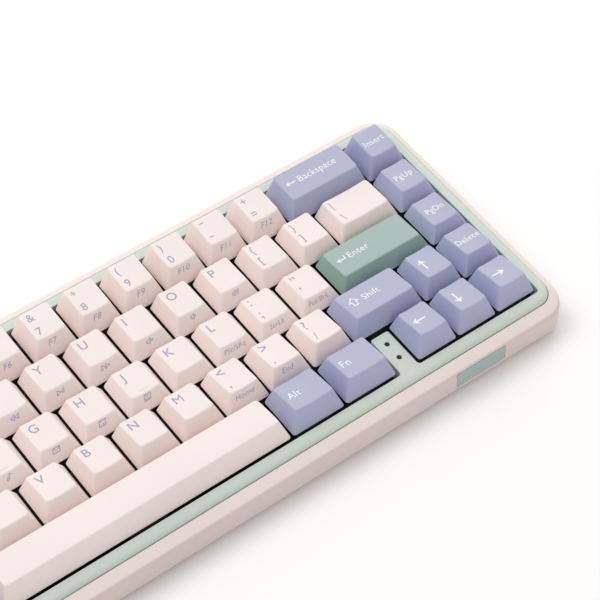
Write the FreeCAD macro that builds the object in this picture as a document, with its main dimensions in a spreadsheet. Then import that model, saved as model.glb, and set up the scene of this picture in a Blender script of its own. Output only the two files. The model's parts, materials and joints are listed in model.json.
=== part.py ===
import FreeCAD, Part
import math
import os
import Sketcher

# Compact mechanical keyboard. Units are millimetres, +Z is up and the origin is the
# centre of the footprint on the desk. Everything that belongs to the key field is drawn
# in the key plane, where z = 0 is the lower rim of the keycaps, and is then tilted.

os.makedirs("parts", exist_ok=True)
doc = FreeCAD.newDocument("keyboard")
Vector = FreeCAD.Vector
Placement = FreeCAD.Placement
Rotation = FreeCAD.Rotation
X_AXIS = Vector(1, 0, 0)
NO_TURN = Rotation()
TOUCH = 0.01  # two places closer than this are the same place

DRIVING = {
    # key field
    "unit_pitch": 19.05, "columns": 16, "row_count": 5, "typing_angle": 7,
    "key_plane_height": 22.5,
    # case, measured from the edge of the key field
    "case_width": 323.6, "case_depth": 115, "case_corner": 11.3, "case_top": -1.6,
    "rim_round": 3.6, "bottom_round": 2.5, "floor_thickness": 1.4, "foot_height": 1.5,
    "groove_margin": 5.5, "groove_corner": 7.4, "ledge_level": -9.2,
    "cavity_margin": 2, "cavity_corner": 5, "case_blank": 45, "slope_cut_x": 400,
    "slope_cut_y": 220, "through_cut": 60, "recess_depth": 12, "recess_corner": 1.5,
    "recess_level": -18.5, "bay_wall": 4.5, "bay_lift": 0.5, "bay_roof": 3,
    "bay_spare": 5, "bay_shift": 1,
    # frame round the keys
    "frame_margin": 5.3, "frame_corner": 7.2, "frame_top": 0.28, "frame_bottom": -6.2,
    "opening_margin": 0.68, "opening_corner": 1.6, "frame_round": 2,
    "island_start": 12.54, "island_end": 12.965, "island_depth": 17.5,
    "lamp_column": 12.758, "lamp_far": 12.8, "lamp_near": 5.8, "lamp_bore": 1.9,
    "lamp_play": 0.05, "lens_bottom": 0.4, "lens_sink": 0.35, "island_root": 1,
    "boss_joint": 0.5, "thread_depth": 6,
    # plate, board and layers
    "plate_top": -6.9, "plate_thickness": 1.5, "plate_margin": 4.8, "plate_corner": 6.5,
    "switch_cutout": 14, "stabiliser_cutout_x": 8.2, "stabiliser_cutout_y": 14.8,
    "board_drop": 5, "board_thickness": 1.6, "board_margin": -0.8,
    "foam_thickness": 3, "foam_hole": 14.8, "post_hole": 4.2,
    "pad_width": 190, "pad_depth": 60, "pad_thickness": 1.8, "pad_middle": 10,
    "gasket_length": 40, "gasket_width": 3, "gasket_place": 36, "board_corner": 2,
    "layer_gap": 0.2, "tongue_root": 10, "tongue_play": 3,
    # switches
    "housing_body": 13.9, "flange_size": 15.6, "flange_height": 1, "housing_height": 6.3,
    "shoulder_size": 15, "housing_top_x": 10.8, "housing_top_y": 10.4,
    "well_x": 7.4, "well_y": 5.9, "well_floor": -4, "post_size": 3.9, "post_length": 2.2,
    "column_x": 7, "column_y": 5.2, "column_bottom": 0.3, "cross_length": 4,
    "cross_thick": 1.2, "cross_height": 3.5, "cross_play": 0.06,
    # stabilisers
    "carrier_x": 7.6, "carrier_y": 14, "carrier_top": 2, "carrier_well_x": 5.2,
    "carrier_well_y": 7.4, "slider_x": 4.8, "slider_y": 7, "wire_size": 1.5,
    "wire_level": 1.2, "wire_back": 9, "wire_end": 4.5, "wire_bore": 1.7, "wire_bend": 2,
    "short_span": 11.938, "long_span": 50, "carrier_floor": 0.1, "bore_start": 10,
    "wire_play": 0.3,
    # keycaps
    "cap_gap": 0.95, "cap_wall": 1.3, "crown_inset": 3.62, "crown_grow": 0.3,
    "cap_corner": 1.2, "roof_thickness": 1.15, "dish_depth": 0.5,
    "dished_below": 1.75, "boss_size": 5.5, "boss_bottom": -0.5,
    "boss_root": 0.35,
    # fittings
    "screw_size": 1.9, "screw_hole": 2, "clear_hole": 2.4, "head_size": 3.8,
    "head_height": 1.6, "head_bore": 4.3, "boss_outer": 4.4, "boss_notch": 5.2,
    "screw_row": 50.8, "screw_column": 75, "screw_seat": -12.2,
    "thread_clearance": 0.4, "socket_radius": 0.75, "socket_depth": 0.9,
    "foot_long": 26, "foot_short": 8, "foot_inset": 0.6, "foot_x": 132, "foot_y": 45.5,
    "foot_corner": 3, "foot_play": 0.1, "foot_edge": 0.4,
    "tilt_x": 112, "tilt_width": 24, "tilt_length": 17, "tilt_thickness": 3.6,
    "tilt_hinge_y": 20, "tilt_gap": 0.4, "tilt_pin": 2, "tilt_lift": 0.25,
    "pin_play": 0.3, "pin_reach": 2, "pin_bore_reach": 2.5, "grip_width": 10,
    "grip_length": 2, "grip_place": 3, "grip_depth": 0.8,
    "badge_x": 116.9, "badge_level": 7.9, "badge_width": 23.5, "badge_height": 6.6,
    "badge_thickness": 0.9, "badge_corner": 0.6, "badge_play": 0.05,
    "port_x": -98, "port_width": 9, "port_height": 3.2, "port_length": 7.3,
    "port_reach": 55.6, "port_shell": 0.4, "slot_play": 0.35, "tongue_width": 22,
    "port_corner_play": 0.05, "port_back": 1, "contact_margin": 1.3,
    "contact_thickness": 0.7, "contact_sink": 0.9, "contact_end": 0.5, "slot_start": 5,
}

# Crown of each row: front edge, back edge, height at the front edge, at the back edge.
CROWNS = {
    "number": (-4.75, 7.80, 8.97, 9.25),
    "upper": (-4.64, 8.50, 7.04, 6.17),
    "home": (-4.73, 8.56, 6.16, 4.75),
    "lower": (-4.73, 8.49, 8.18, 5.46),
    "bottom": (-4.88, 8.09, 8.82, 6.20),
}
ROWS = list(CROWNS)

# Keys of each row from the left: name, left edge and width in key units.
LAYOUT = {
    "number": [("escape", 0, 1)] + [(digit, place, 1) for place, digit in
              enumerate("1 2 3 4 5 6 7 8 9 0 minus equals".split(), start=1)]
              + [("backspace", 13, 2), ("insert", 15, 1)],
    "upper": [("tab", 0, 1.5)] + [(letter, 1.5 + place, 1) for place, letter in
             enumerate("q w e r t y u i o p left_bracket right_bracket".split())]
             + [("backslash", 13.5, 1.5), ("page_up", 15, 1)],
    "home": [("caps_lock", 0, 1.75)] + [(letter, 1.75 + place, 1) for place, letter in
            enumerate("a s d f g h j k l semicolon quote".split())]
            + [("enter", 12.75, 2.25), ("page_down", 15, 1)],
    "lower": [("left_shift", 0, 2.25)] + [(letter, 2.25 + place, 1) for place, letter in
             enumerate("z x c v b n m comma full_stop slash".split())]
             + [("right_shift", 12.25, 1.75), ("arrow_up", 14, 1), ("delete", 15, 1)],
    "bottom": [("left_control", 0, 1.25), ("system", 1.25, 1.25), ("left_alt", 2.5, 1.25),
               ("space", 3.75, 6.25), ("right_alt", 10, 1.25), ("function", 11.25, 1.25),
               ("arrow_left", 13, 1), ("arrow_down", 14, 1), ("arrow_right", 15, 1)],
}

# Keys at the far left share three nodes, so that the files stay within their number.
GROUPS = {
    "left_number_keys": "escape 1 2 3 4 5 6".split(),
    "left_letter_keys": "q w e r t a s d f z x c v".split(),
    "left_modifier_keys": "tab caps_lock left_shift left_control system left_alt".split(),
}

sheet = doc.addObject("Spreadsheet::Sheet", "sizes")
for line_number, (alias, value) in enumerate(DRIVING.items(), start=1):
    sheet.set(f"A{line_number}", alias)
    sheet.set(f"B{line_number}", str(value))
    sheet.setAlias(f"B{line_number}", alias)
next_line = len(DRIVING) + 1
for row, crown in CROWNS.items():
    for part_name, value in zip(("front", "back", "front_height", "back_height"), crown):
        sheet.set(f"A{next_line}", f"{row}_{part_name}")
        sheet.set(f"B{next_line}", str(value))
        sheet.setAlias(f"B{next_line}", f"{row}_{part_name}")
        next_line += 1
doc.recompute()


def size(alias):
    """Value of one cell of the sheet."""
    return float(getattr(sheet, alias))


def cell(alias):
    """The same cell as it is written in an expression."""
    return f"sizes.{alias}"


FIELD_X = "sizes.columns * sizes.unit_pitch"
FIELD_Y = "sizes.row_count * sizes.unit_pitch"
key_plane = Placement(Vector(0, 0, size("key_plane_height")),
                      Rotation(X_AXIS, size("typing_angle")))


def margin_box(alias):
    """Width and depth of a rectangle that stands out round the key field."""
    return (f"{FIELD_X} + 2 * sizes.{alias}", f"{FIELD_Y} + 2 * sizes.{alias}")


def new_body(name):
    return doc.addObject("PartDesign::Body", name)


def attach(sketch, body, role, lift, tilt, middle):
    """Lay a sketch on an origin plane, lifted, moved and turned about its own X axis."""
    origin_plane = next(f for f in body.Origin.OriginFeatures if f.Role == role)
    sketch.AttachmentSupport = [(origin_plane, "")]
    sketch.MapMode = "FlatFace"
    sketch.AttachmentOffset = Placement(Vector(), Rotation(X_AXIS, 1))
    sketch.setExpression("AttachmentOffset.Rotation.Angle", tilt)
    sketch.setExpression("AttachmentOffset.Base.x", middle[0])
    sketch.setExpression("AttachmentOffset.Base.y", middle[1])
    sketch.setExpression("AttachmentOffset.Base.z", lift)


def rectangle(body, name, width, depth, lift="0", tilt="0", middle=("0", "0"),
              role="XY_Plane", corner=None):
    """Centred rectangle, with round corners if a corner radius is given."""
    sketch = body.newObject("Sketcher::SketchObject", name)
    attach(sketch, body, role, lift, tilt, middle)
    straight = 4.0
    bend = 1.0 if corner else 0.0
    reach = straight + bend
    starts = [(-straight, -reach), (reach, -straight), (straight, reach), (-reach, straight)]
    ends = [(straight, -reach), (reach, straight), (-straight, reach), (-reach, -straight)]
    for start, end in zip(starts, ends):
        sketch.addGeometry(Part.LineSegment(Vector(*start, 0), Vector(*end, 0)))
    for side, rule in enumerate(("Horizontal", "Vertical", "Horizontal", "Vertical")):
        sketch.addConstraint(Sketcher.Constraint(rule, side))
    if corner:
        centres = [(straight, -straight), (straight, straight),
                   (-straight, straight), (-straight, -straight)]
        for index, centre in enumerate(centres):
            first = math.radians(90 * index - 90)
            circle = Part.Circle(Vector(*centre, 0), Vector(0, 0, 1), bend)
            sketch.addGeometry(Part.ArcOfCircle(circle, first, first + math.pi / 2))
        for side in range(4):
            sketch.addConstraint(Sketcher.Constraint("Tangent", side, 2, 4 + side, 1))
            sketch.addConstraint(Sketcher.Constraint("Tangent", 4 + side, 2, (side + 1) % 4, 1))
        for arc in (5, 6, 7):
            sketch.addConstraint(Sketcher.Constraint("Equal", 4, arc))
        sketch.addConstraint(Sketcher.Constraint("Symmetric", 4, 3, 6, 3, -1, 1))
        radius = sketch.addConstraint(Sketcher.Constraint("Radius", 4, bend))
        sketch.setExpression(f"Constraints[{radius}]", corner)
    else:
        for side in range(4):
            sketch.addConstraint(Sketcher.Constraint("Coincident", side, 2, (side + 1) % 4, 1))
        sketch.addConstraint(Sketcher.Constraint("Symmetric", 0, 1, 2, 1, -1, 1))
    across = sketch.addConstraint(Sketcher.Constraint("DistanceX", 3, 1, 1, 1, 2 * reach))
    along = sketch.addConstraint(Sketcher.Constraint("DistanceY", 0, 1, 2, 1, 2 * reach))
    sketch.setExpression(f"Constraints[{across}]", width)
    sketch.setExpression(f"Constraints[{along}]", depth)
    return sketch


def circle(body, name, diameter, lift="0", tilt="0", middle=("0", "0"), role="XY_Plane"):
    """Circle sketch about the origin of its plane."""
    sketch = body.newObject("Sketcher::SketchObject", name)
    attach(sketch, body, role, lift, tilt, middle)
    sketch.addGeometry(Part.Circle(Vector(), Vector(0, 0, 1), 1))
    sketch.addConstraint(Sketcher.Constraint("Coincident", 0, 3, -1, 1))
    across = sketch.addConstraint(Sketcher.Constraint("Diameter", 0, 2))
    sketch.setExpression(f"Constraints[{across}]", diameter)
    return sketch


def pad(body, sketch, length, down=False):
    """Grow the body from a sketch, along its normal or against it."""
    feature = body.newObject("PartDesign::Pad", "pad_" + sketch.Name)
    feature.Profile = sketch
    feature.Reversed = down
    feature.setExpression("Length", length)
    return feature


def pocket(body, sketch, length, up=False, both=False):
    """Cut the body from a sketch, against its normal unless up is set."""
    feature = body.newObject("PartDesign::Pocket", "cut_" + sketch.Name)
    feature.Profile = sketch
    feature.Reversed = up
    feature.Midplane = both
    feature.setExpression("Length", length)
    return feature


def round_edges(body, name, radius, wanted):
    """Fillet the edges of the body's tip that the test picks."""
    doc.recompute()
    tip = body.Tip
    picked = [f"Edge{number}" for number, edge in enumerate(tip.Shape.Edges, start=1)
              if wanted(edge)]
    feature = body.newObject("PartDesign::Fillet", name)
    feature.Base = (tip, picked)
    feature.setExpression("Radius", radius)
    return feature


def upright(edge):
    """An edge whose two ends lie at the same place seen from above."""
    ends = [vertex.Point for vertex in edge.Vertexes]
    if len(ends) < 2:
        return False
    return abs(ends[0].x - ends[1].x) < TOUCH and abs(ends[0].y - ends[1].y) < TOUCH


def loft(body, name, sections, cut=False):
    """Straight-sided loft between two sketches, added or taken away."""
    kind = "PartDesign::SubtractiveLoft" if cut else "PartDesign::AdditiveLoft"
    feature = body.newObject(kind, name)
    feature.Profile = sections[0]
    feature.Sections = [sections[1]]
    feature.Ruled = True
    return feature


def copies(name, template, spots):
    """One node of like pieces, each a copy of a template body, in the key plane."""
    node = doc.addObject("Part::Feature", name)
    pieces = []
    for spot in spots:
        piece = template.Shape.copy()
        piece.Placement = spot.multiply(piece.Placement)
        pieces.append(piece)
    node.Shape = Part.makeCompound(pieces)
    node.Placement = key_plane
    return node


# ---------------------------------------------------------------- places of the keys

def row_middle(row):
    return (size("row_count") / 2 - ROWS.index(row) - 0.5) * size("unit_pitch")


def key_middle(left, width):
    return (left + width / 2 - size("columns") / 2) * size("unit_pitch")


def stabiliser_span(width):
    """Half the distance between a long key's side guides, or nothing for a short key."""
    if width >= 6:
        return size("long_span")
    return size("short_span") if width >= 2 else 0


KEYS = {}
for row, keys in LAYOUT.items():
    for name, left, width in keys:
        KEYS[name] = (row, width, Vector(key_middle(left, width), row_middle(row), 0))

plate_level = Vector(0, 0, size("plate_top"))
switch_spots = [Placement(middle + plate_level, NO_TURN) for _, _, middle in KEYS.values()]
guide_spots = {"short": [], "long": []}
for row, width, middle in KEYS.values():
    if stabiliser_span(width):
        kind = "long" if width >= 6 else "short"
        guide_spots[kind].append(middle + plate_level)


# ---------------------------------------------------------------- switches

def lower_housing_body():
    body = new_body("lower_housing_template")
    pad(body, rectangle(body, "housing_barrel", cell("housing_body"), cell("housing_body")),
        cell("board_drop"), down=True)
    pad(body, rectangle(body, "housing_flange", cell("flange_size"), cell("flange_size")),
        cell("flange_height"))
    pad(body, circle(body, "housing_post", cell("post_size"), "-sizes.board_drop"),
        cell("post_length"), down=True)
    pocket(body, rectangle(body, "housing_well", cell("well_x"), cell("well_y"),
                           cell("well_floor")), cell("through_cut"), up=True)
    return body


def upper_housing_body():
    body = new_body("upper_housing_template")
    foot = rectangle(body, "shoulder", cell("shoulder_size"), cell("shoulder_size"),
                     cell("flange_height"))
    crown = rectangle(body, "housing_crown", cell("housing_top_x"), cell("housing_top_y"),
                      cell("housing_height"))
    loft(body, "housing_taper", (foot, crown))
    well = rectangle(body, "upper_well", cell("well_x"), cell("well_y"))
    pocket(body, well, cell("through_cut"), up=True)
    return body


def sliding_stem_body(name, across, along):
    """Column with the cross on top that carries a keycap; z = 0 is the plate's top."""
    body = new_body(name)
    bottom = cell("column_bottom")
    column = "sizes.housing_height - sizes.column_bottom"
    pad(body, rectangle(body, name + "_column", across, along, bottom), column)
    for bar, (wide, deep) in enumerate((("cross_length", "cross_thick"),
                                        ("cross_thick", "cross_length"))):
        pad(body, rectangle(body, f"{name}_bar_{bar}", cell(wide), cell(deep), bottom),
            f"{column} + sizes.cross_height")
    return body


def carrier_body():
    """Side guide of a long key; the wire's end turns in a bore in its back wall."""
    body = new_body("carrier_template")
    pad(body, rectangle(body, "carrier_block", cell("carrier_x"), cell("carrier_y"),
                        "sizes.carrier_floor - sizes.board_drop"),
        "sizes.carrier_top + sizes.board_drop - sizes.carrier_floor")
    well = rectangle(body, "carrier_well", cell("carrier_well_x"), cell("carrier_well_y"),
                     cell("well_floor"))
    pocket(body, well, cell("through_cut"), up=True)
    bore = circle(body, "carrier_bore", cell("wire_bore"), "-sizes.bore_start",
                  middle=("0", cell("wire_level")), role="XZ_Plane")
    pocket(body, bore, "sizes.bore_start - sizes.wire_end + sizes.wire_play", up=True)
    return body


def wire_body(name, span):
    """Bent wire that joins the two side guides of a long key."""
    body = new_body(name)
    half = size(span)
    bend = size("wire_bend")
    level = size("wire_level")
    back = size("wire_back")
    path = body.newObject("Sketcher::SketchObject", name + "_path")
    attach(path, body, "XY_Plane", cell("wire_level"), "0", ("0", "0"))
    left_bend = Part.Circle(Vector(-half + bend, back - bend, 0), Vector(0, 0, 1), bend)
    right_bend = Part.Circle(Vector(half - bend, back - bend, 0), Vector(0, 0, 1), bend)
    quarter = math.pi / 2
    path.addGeometry(Part.LineSegment(Vector(-half, size("wire_end"), 0),
                                      Vector(-half, back - bend, 0)))
    path.addGeometry(Part.ArcOfCircle(left_bend, quarter, 2 * quarter))
    path.addGeometry(Part.LineSegment(Vector(-half + bend, back, 0),
                                      Vector(half - bend, back, 0)))
    path.addGeometry(Part.ArcOfCircle(right_bend, 0, quarter))
    path.addGeometry(Part.LineSegment(Vector(half, back - bend, 0),
                                      Vector(half, size("wire_end"), 0)))
    for joint in ((0, 2, 1, 2), (1, 1, 2, 1), (2, 2, 3, 2), (3, 1, 4, 1)):
        path.addConstraint(Sketcher.Constraint("Coincident", *joint))
    profile = circle(body, name + "_section", cell("wire_size"), "-sizes.wire_end",
                     middle=(f"-sizes.{span}", f"{level}"), role="XZ_Plane")
    pipe = body.newObject("PartDesign::AdditivePipe", name + "_sweep")
    pipe.Profile = profile
    pipe.Spine = path
    return body


# ---------------------------------------------------------------- keycaps

def keycap_body(row, width):
    """Hollow sculpted cap with a cross socket for every stem under it."""
    tag = f"{row}_{str(width).replace('.', '_')}"
    body = new_body("cap_" + tag)
    front, back = f"sizes.{row}_front", f"sizes.{row}_back"
    low, high = f"sizes.{row}_front_height", f"sizes.{row}_back_height"
    slope = f"atan(({high} - {low}) / ({back} - {front}))"
    middle = ("0", f"({front} + {back}) / 2")
    lift = f"({low} + {high}) / 2"
    across = f"{width} * sizes.unit_pitch"
    along = f"({back} - {front}) / cos({slope}) + 2 * sizes.crown_grow"
    skirt = rectangle(body, "skirt_" + tag, f"{across} - sizes.cap_gap",
                      "sizes.unit_pitch - sizes.cap_gap", corner=cell("cap_corner"))
    crown = rectangle(body, "crown_" + tag, f"{across} - 2 * sizes.crown_inset", along,
                      lift, slope, middle, corner=cell("cap_corner"))
    loft(body, "walls_" + tag, (skirt, crown))
    if width < size("dished_below"):
        half = f"({across} / 2 - sizes.crown_inset)"
        radius = f"({half} * {half} / sizes.dish_depth / 2)"
        dish = circle(body, "dish_" + tag, f"2 * {radius}", f"-({middle[1]})",
                      f"({slope})",
                      ("0", f"{lift} + ({radius} - sizes.dish_depth) / cos({slope})"),
                      role="XZ_Plane")
        pocket(body, dish, cell("through_cut"), both=True)
    lowest = f"min({low}; {high})"
    roof = f"({lowest} - sizes.roof_thickness)"
    inner_x = f"{across} - sizes.cap_gap - 2 * sizes.cap_wall"
    shrink = f"(2 * sizes.crown_inset - sizes.cap_gap) * {roof} / {lift}"
    base_y = "(sizes.unit_pitch - sizes.cap_gap) / 2"
    front_in = f"(({front} + {base_y}) * {roof} / {low} - {base_y} + sizes.cap_wall)"
    back_in = f"(({back} - {base_y}) * {roof} / {high} + {base_y} - sizes.cap_wall)"
    mouth = rectangle(body, "mouth_" + tag, inner_x,
                      "sizes.unit_pitch - sizes.cap_gap - 2 * sizes.cap_wall")
    ceiling = rectangle(body, "ceiling_" + tag, f"{inner_x} - {shrink}",
                        f"{back_in} - {front_in}", roof,
                        middle=("0", f"({back_in} + {front_in}) / 2"))
    loft(body, "hollow_" + tag, (mouth, ceiling), cut=True)
    span = stabiliser_span(width)
    for place, shift in enumerate([0, -span, span] if span else [0]):
        spot = (str(shift), "0")
        boss = circle(body, f"boss_{tag}_{place}", cell("boss_size"), cell("boss_bottom"),
                      middle=spot)
        pad(body, boss, f"{roof} - sizes.boss_bottom + sizes.boss_root")
        for bar, (wide, deep) in enumerate((("cross_length", "cross_thick"),
                                            ("cross_thick", "cross_length"))):
            slot = rectangle(body, f"slot_{tag}_{place}_{bar}",
                             f"sizes.{wide} + 2 * sizes.cross_play",
                             f"sizes.{deep} + 2 * sizes.cross_play", cell("boss_bottom"),
                             middle=spot)
            pocket(body, slot, "sizes.cross_height + 2 * sizes.cross_play", up=True)
    return body


# ---------------------------------------------------------------- case and frame

def screw_middles():
    """Screws along the front and the back edge of the key field."""
    spread = size("screw_column")
    return [(x, y) for y in (-size("screw_row"), size("screw_row"))
            for x in (-spread, 0, spread)]


def tilted_spot(x, y, level):
    """Lift, tilt and middle of a sketch whose place is measured in the key plane."""
    turn = "sizes.typing_angle"
    return {"lift": f"sizes.key_plane_height + ({level}) * cos({turn}) + ({y}) * sin({turn})",
            "tilt": turn,
            "middle": (f"{x}", f"({y}) * cos({turn}) - ({level}) * sin({turn})")}


def outer_case():
    body = new_body("outer_case")
    outline = rectangle(body, "case_outline", cell("case_width"), cell("case_depth"),
                        cell("foot_height"), corner=cell("case_corner"))
    pad(body, outline, cell("case_blank"))
    slope = rectangle(body, "case_slope", cell("slope_cut_x"), cell("slope_cut_y"),
                      **tilted_spot("0", "0", cell("case_top")))
    pocket(body, slope, cell("through_cut"), up=True)
    well = rectangle(body, "frame_well", *margin_box("groove_margin"),
                     corner=cell("groove_corner"), **tilted_spot("0", "0", cell("ledge_level")))
    pocket(body, well, cell("through_cut"), up=True)
    cavity = rectangle(body, "board_cavity", *margin_box("cavity_margin"),
                       "sizes.foot_height + sizes.floor_thickness",
                       corner=cell("cavity_corner"))
    pocket(body, cavity, cell("through_cut"), up=True)
    tongue = rectangle(body, "tongue_recess", cell("tongue_width"), cell("recess_depth"),
                       corner=cell("recess_corner"),
                       **tilted_spot(cell("port_x"), f"{FIELD_Y} / 2", cell("recess_level")))
    pocket(body, tongue, cell("recess_depth"), up=True)
    for side in (-1, 1):
        tag = "left" if side < 0 else "right"
        middle = (f"{side} * sizes.tilt_x", "sizes.tilt_hinge_y + sizes.tilt_length / 2")
        housing = rectangle(body, f"foot_house_{tag}", "sizes.tilt_width + 2 * sizes.bay_wall",
                            "sizes.tilt_length + 2 * sizes.bay_wall",
                            "sizes.foot_height + sizes.bay_lift", middle=middle)
        pad(body, housing, "sizes.tilt_thickness + sizes.bay_roof")
        bay_middle = (middle[0], middle[1] + " - sizes.bay_shift")
        bay = rectangle(body, f"foot_bay_{tag}", "sizes.tilt_width + 2 * sizes.tilt_gap",
                        "sizes.tilt_length + sizes.bay_spare", cell("foot_height"),
                        middle=bay_middle)
        pocket(body, bay, "sizes.tilt_thickness + 2 * sizes.tilt_gap", up=True)
        hinge = circle(body, f"foot_hinge_{tag}", "sizes.tilt_pin + sizes.pin_play",
                       f"{side} * sizes.tilt_x",
                       middle=(cell("tilt_hinge_y"),
                               "sizes.foot_height + sizes.tilt_lift + sizes.tilt_thickness / 2"),
                       role="YZ_Plane")
        pocket(body, hinge, "sizes.tilt_width + 2 * sizes.pin_bore_reach", both=True)
        for end in (-1, 1):
            tag_end = f"{tag}_{'front' if end < 0 else 'back'}"
            seat = rectangle(body, f"foot_seat_{tag_end}", cell("foot_long"), cell("foot_short"),
                             cell("foot_height"), corner=cell("foot_corner"),
                             middle=(f"{side} * sizes.foot_x", f"{end} * sizes.foot_y"))
            pocket(body, seat, cell("foot_inset"), up=True)
    for place, (x, y) in enumerate(screw_middles()):
        shaft = circle(body, f"screw_shaft_{place}", cell("clear_hole"),
                       **tilted_spot(x, y, cell("ledge_level")))
        pocket(body, shaft, cell("through_cut"))
        bore = circle(body, f"screw_bore_{place}", cell("head_bore"),
                      **tilted_spot(x, y, cell("screw_seat")))
        pocket(body, bore, cell("through_cut"))
    badge = rectangle(body, "badge_seat", cell("badge_width"), cell("badge_height"),
                      "sizes.case_depth / 2", corner=cell("badge_corner"),
                      middle=(cell("badge_x"), cell("badge_level")), role="XZ_Plane")
    pocket(body, badge, cell("badge_thickness"))
    slot = rectangle(body, "port_slot", "sizes.port_width + 2 * sizes.slot_play",
                     "sizes.port_height + 2 * sizes.slot_play",
                     "-sizes.case_depth / 2 - sizes.slot_start",
                     corner="sizes.port_height / 2",
                     middle=(cell("port_x"), f"{port_level():.3f}"), role="XZ_Plane")
    pocket(body, slot, cell("recess_depth"), up=True)
    top = size("case_top")
    reach = size("rim_round") + TOUCH

    def rim(edge):
        """Outer edge of the sloping rim."""
        box = edge.BoundBox
        flat = key_plane.inverse().multVec(edge.valueAt(edge.FirstParameter))
        outside = (max(abs(box.XMin), abs(box.XMax)) > size("case_width") / 2 - reach
                   or max(abs(box.YMin), abs(box.YMax)) > size("case_depth") / 2 - reach)
        return abs(flat.z - top) < TOUCH and outside and wide_of_well(edge)

    def base(edge):
        """Outer edge of the flat bottom."""
        box = edge.BoundBox
        low = box.ZMax < size("foot_height") + TOUCH
        return low and wide_of_well(edge)

    round_edges(body, "rim_round", cell("rim_round"), rim)
    round_edges(body, "bottom_round", cell("bottom_round"), base)
    return body


def wide_of_well(edge):
    """True for the edges that run along the outside of the case."""
    middle = edge.valueAt((edge.FirstParameter + edge.LastParameter) / 2)
    corner_reach = size("case_corner") * (1 - math.sqrt(0.5)) + TOUCH
    wide = size("case_width") / 2 - corner_reach
    deep = size("case_depth") / 2 - corner_reach
    return abs(middle.x) > wide or abs(middle.y) > deep


def port_level():
    """Height of the socket's middle where it leaves the rear wall."""
    below = size("plate_top") - size("board_drop") - size("board_thickness")
    spot = Vector(0, size("port_reach"), below - size("port_height") / 2)
    return key_plane.multVec(spot).z


def inner_frame():
    body = new_body("inner_frame")
    ring = rectangle(body, "frame_outline", *margin_box("frame_margin"), cell("frame_bottom"),
                     corner=cell("frame_corner"))
    pad(body, ring, "sizes.frame_top - sizes.frame_bottom")
    round_edges(body, "frame_shoulder", cell("frame_round"),
                lambda edge: abs(edge.BoundBox.ZMin - size("frame_top")) < TOUCH
                and abs(edge.BoundBox.ZMax - size("frame_top")) < TOUCH)
    opening = rectangle(body, "frame_opening", *margin_box("opening_margin"),
                        cell("frame_bottom"), corner=cell("opening_corner"))
    pocket(body, opening, cell("through_cut"), up=True)
    wide = "(sizes.island_end - sizes.island_start) * sizes.unit_pitch"
    deep = "sizes.island_depth + sizes.opening_margin + sizes.island_root"
    middle_x = ("((sizes.island_start + sizes.island_end) / 2 - sizes.columns / 2)"
                " * sizes.unit_pitch")
    middle_y = f"-{FIELD_Y} / 2 - sizes.opening_margin - sizes.island_root + ({deep}) / 2"
    island = rectangle(body, "lamp_island", wide, deep, cell("frame_bottom"),
                       middle=(middle_x, middle_y))
    pad(body, island, "sizes.frame_top - sizes.frame_bottom")
    lamp_x = "(sizes.lamp_column - sizes.columns / 2) * sizes.unit_pitch"
    for place in ("lamp_near", "lamp_far"):
        hole = circle(body, place + "_hole", cell("lamp_bore"), cell("frame_top"),
                      middle=(lamp_x, f"-{FIELD_Y} / 2 + sizes.{place}"))
        pocket(body, hole, cell("through_cut"))
    for place, (x, y) in enumerate(screw_middles()):
        boss = circle(body, f"frame_boss_{place}", cell("boss_outer"), cell("ledge_level"),
                      middle=(str(x), str(y)))
        pad(body, boss, "sizes.frame_bottom - sizes.ledge_level + sizes.boss_joint")
        thread = circle(body, f"frame_thread_{place}", cell("screw_hole"), cell("ledge_level"),
                        middle=(str(x), str(y)))
        pocket(body, thread, cell("thread_depth"), up=True)
    body.Placement = key_plane
    return body


# ---------------------------------------------------------------- plate, board, layers

def cutter(name, spots, across, along, level, height):
    """Blocks at many spots of the key plane, used to cut a flat piece."""
    tool = doc.addObject("Part::Feature", name)
    corner = Vector(-across / 2, -along / 2, level)
    tool.Shape = Part.makeCompound([Part.makeBox(across, along, height, corner + spot)
                                    for spot in spots])
    return tool


def round_cutter(name, spots, diameter, level, height):
    """Round pins at many spots of the key plane, used to cut a flat piece."""
    tool = doc.addObject("Part::Feature", name)
    tool.Shape = Part.makeCompound([Part.makeCylinder(diameter / 2, height,
                                                      spot + Vector(0, 0, level))
                                    for spot in spots])
    return tool


def perforated(name, blank, tools):
    """A flat blank less all its cutters, laid in the key plane."""
    for place, tool in enumerate(tools):
        cut = doc.addObject("Part::Cut", name if place == len(tools) - 1 else f"{name}_{place}")
        cut.Base = blank
        cut.Tool = tool
        blank = cut
    blank.Placement = key_plane
    return blank


def slab(name, margin, level, thickness, corner):
    """Flat blank with round corners, its top at the given level."""
    body = new_body(name)
    pad(body, rectangle(body, name + "_outline", *margin_box(margin), level, corner=corner),
        thickness, down=True)
    return body


switch_middles = [middle for _, _, middle in KEYS.values()]
guide_middles = []
for key_row, key_width, key_spot in KEYS.values():
    for direction in (-1, 1):
        if stabiliser_span(key_width):
            guide_middles.append(key_spot + Vector(direction * stabiliser_span(key_width), 0, 0))
boss_middles = [Vector(x, y, 0) for x, y in screw_middles()]
CUT_DEPTH = size("through_cut")


def switch_plate():
    blank = slab("plate_blank", "plate_margin", cell("plate_top"), cell("plate_thickness"),
                 cell("plate_corner"))
    cut = size("switch_cutout")
    tools = [cutter("plate_windows", switch_middles, cut, cut, -CUT_DEPTH, CUT_DEPTH),
             cutter("guide_windows", guide_middles, size("stabiliser_cutout_x"),
                    size("stabiliser_cutout_y"), -CUT_DEPTH, CUT_DEPTH),
             round_cutter("boss_notches", boss_middles, size("boss_notch"), -CUT_DEPTH, CUT_DEPTH)]
    return perforated("switch_plate", blank, tools)


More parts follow.
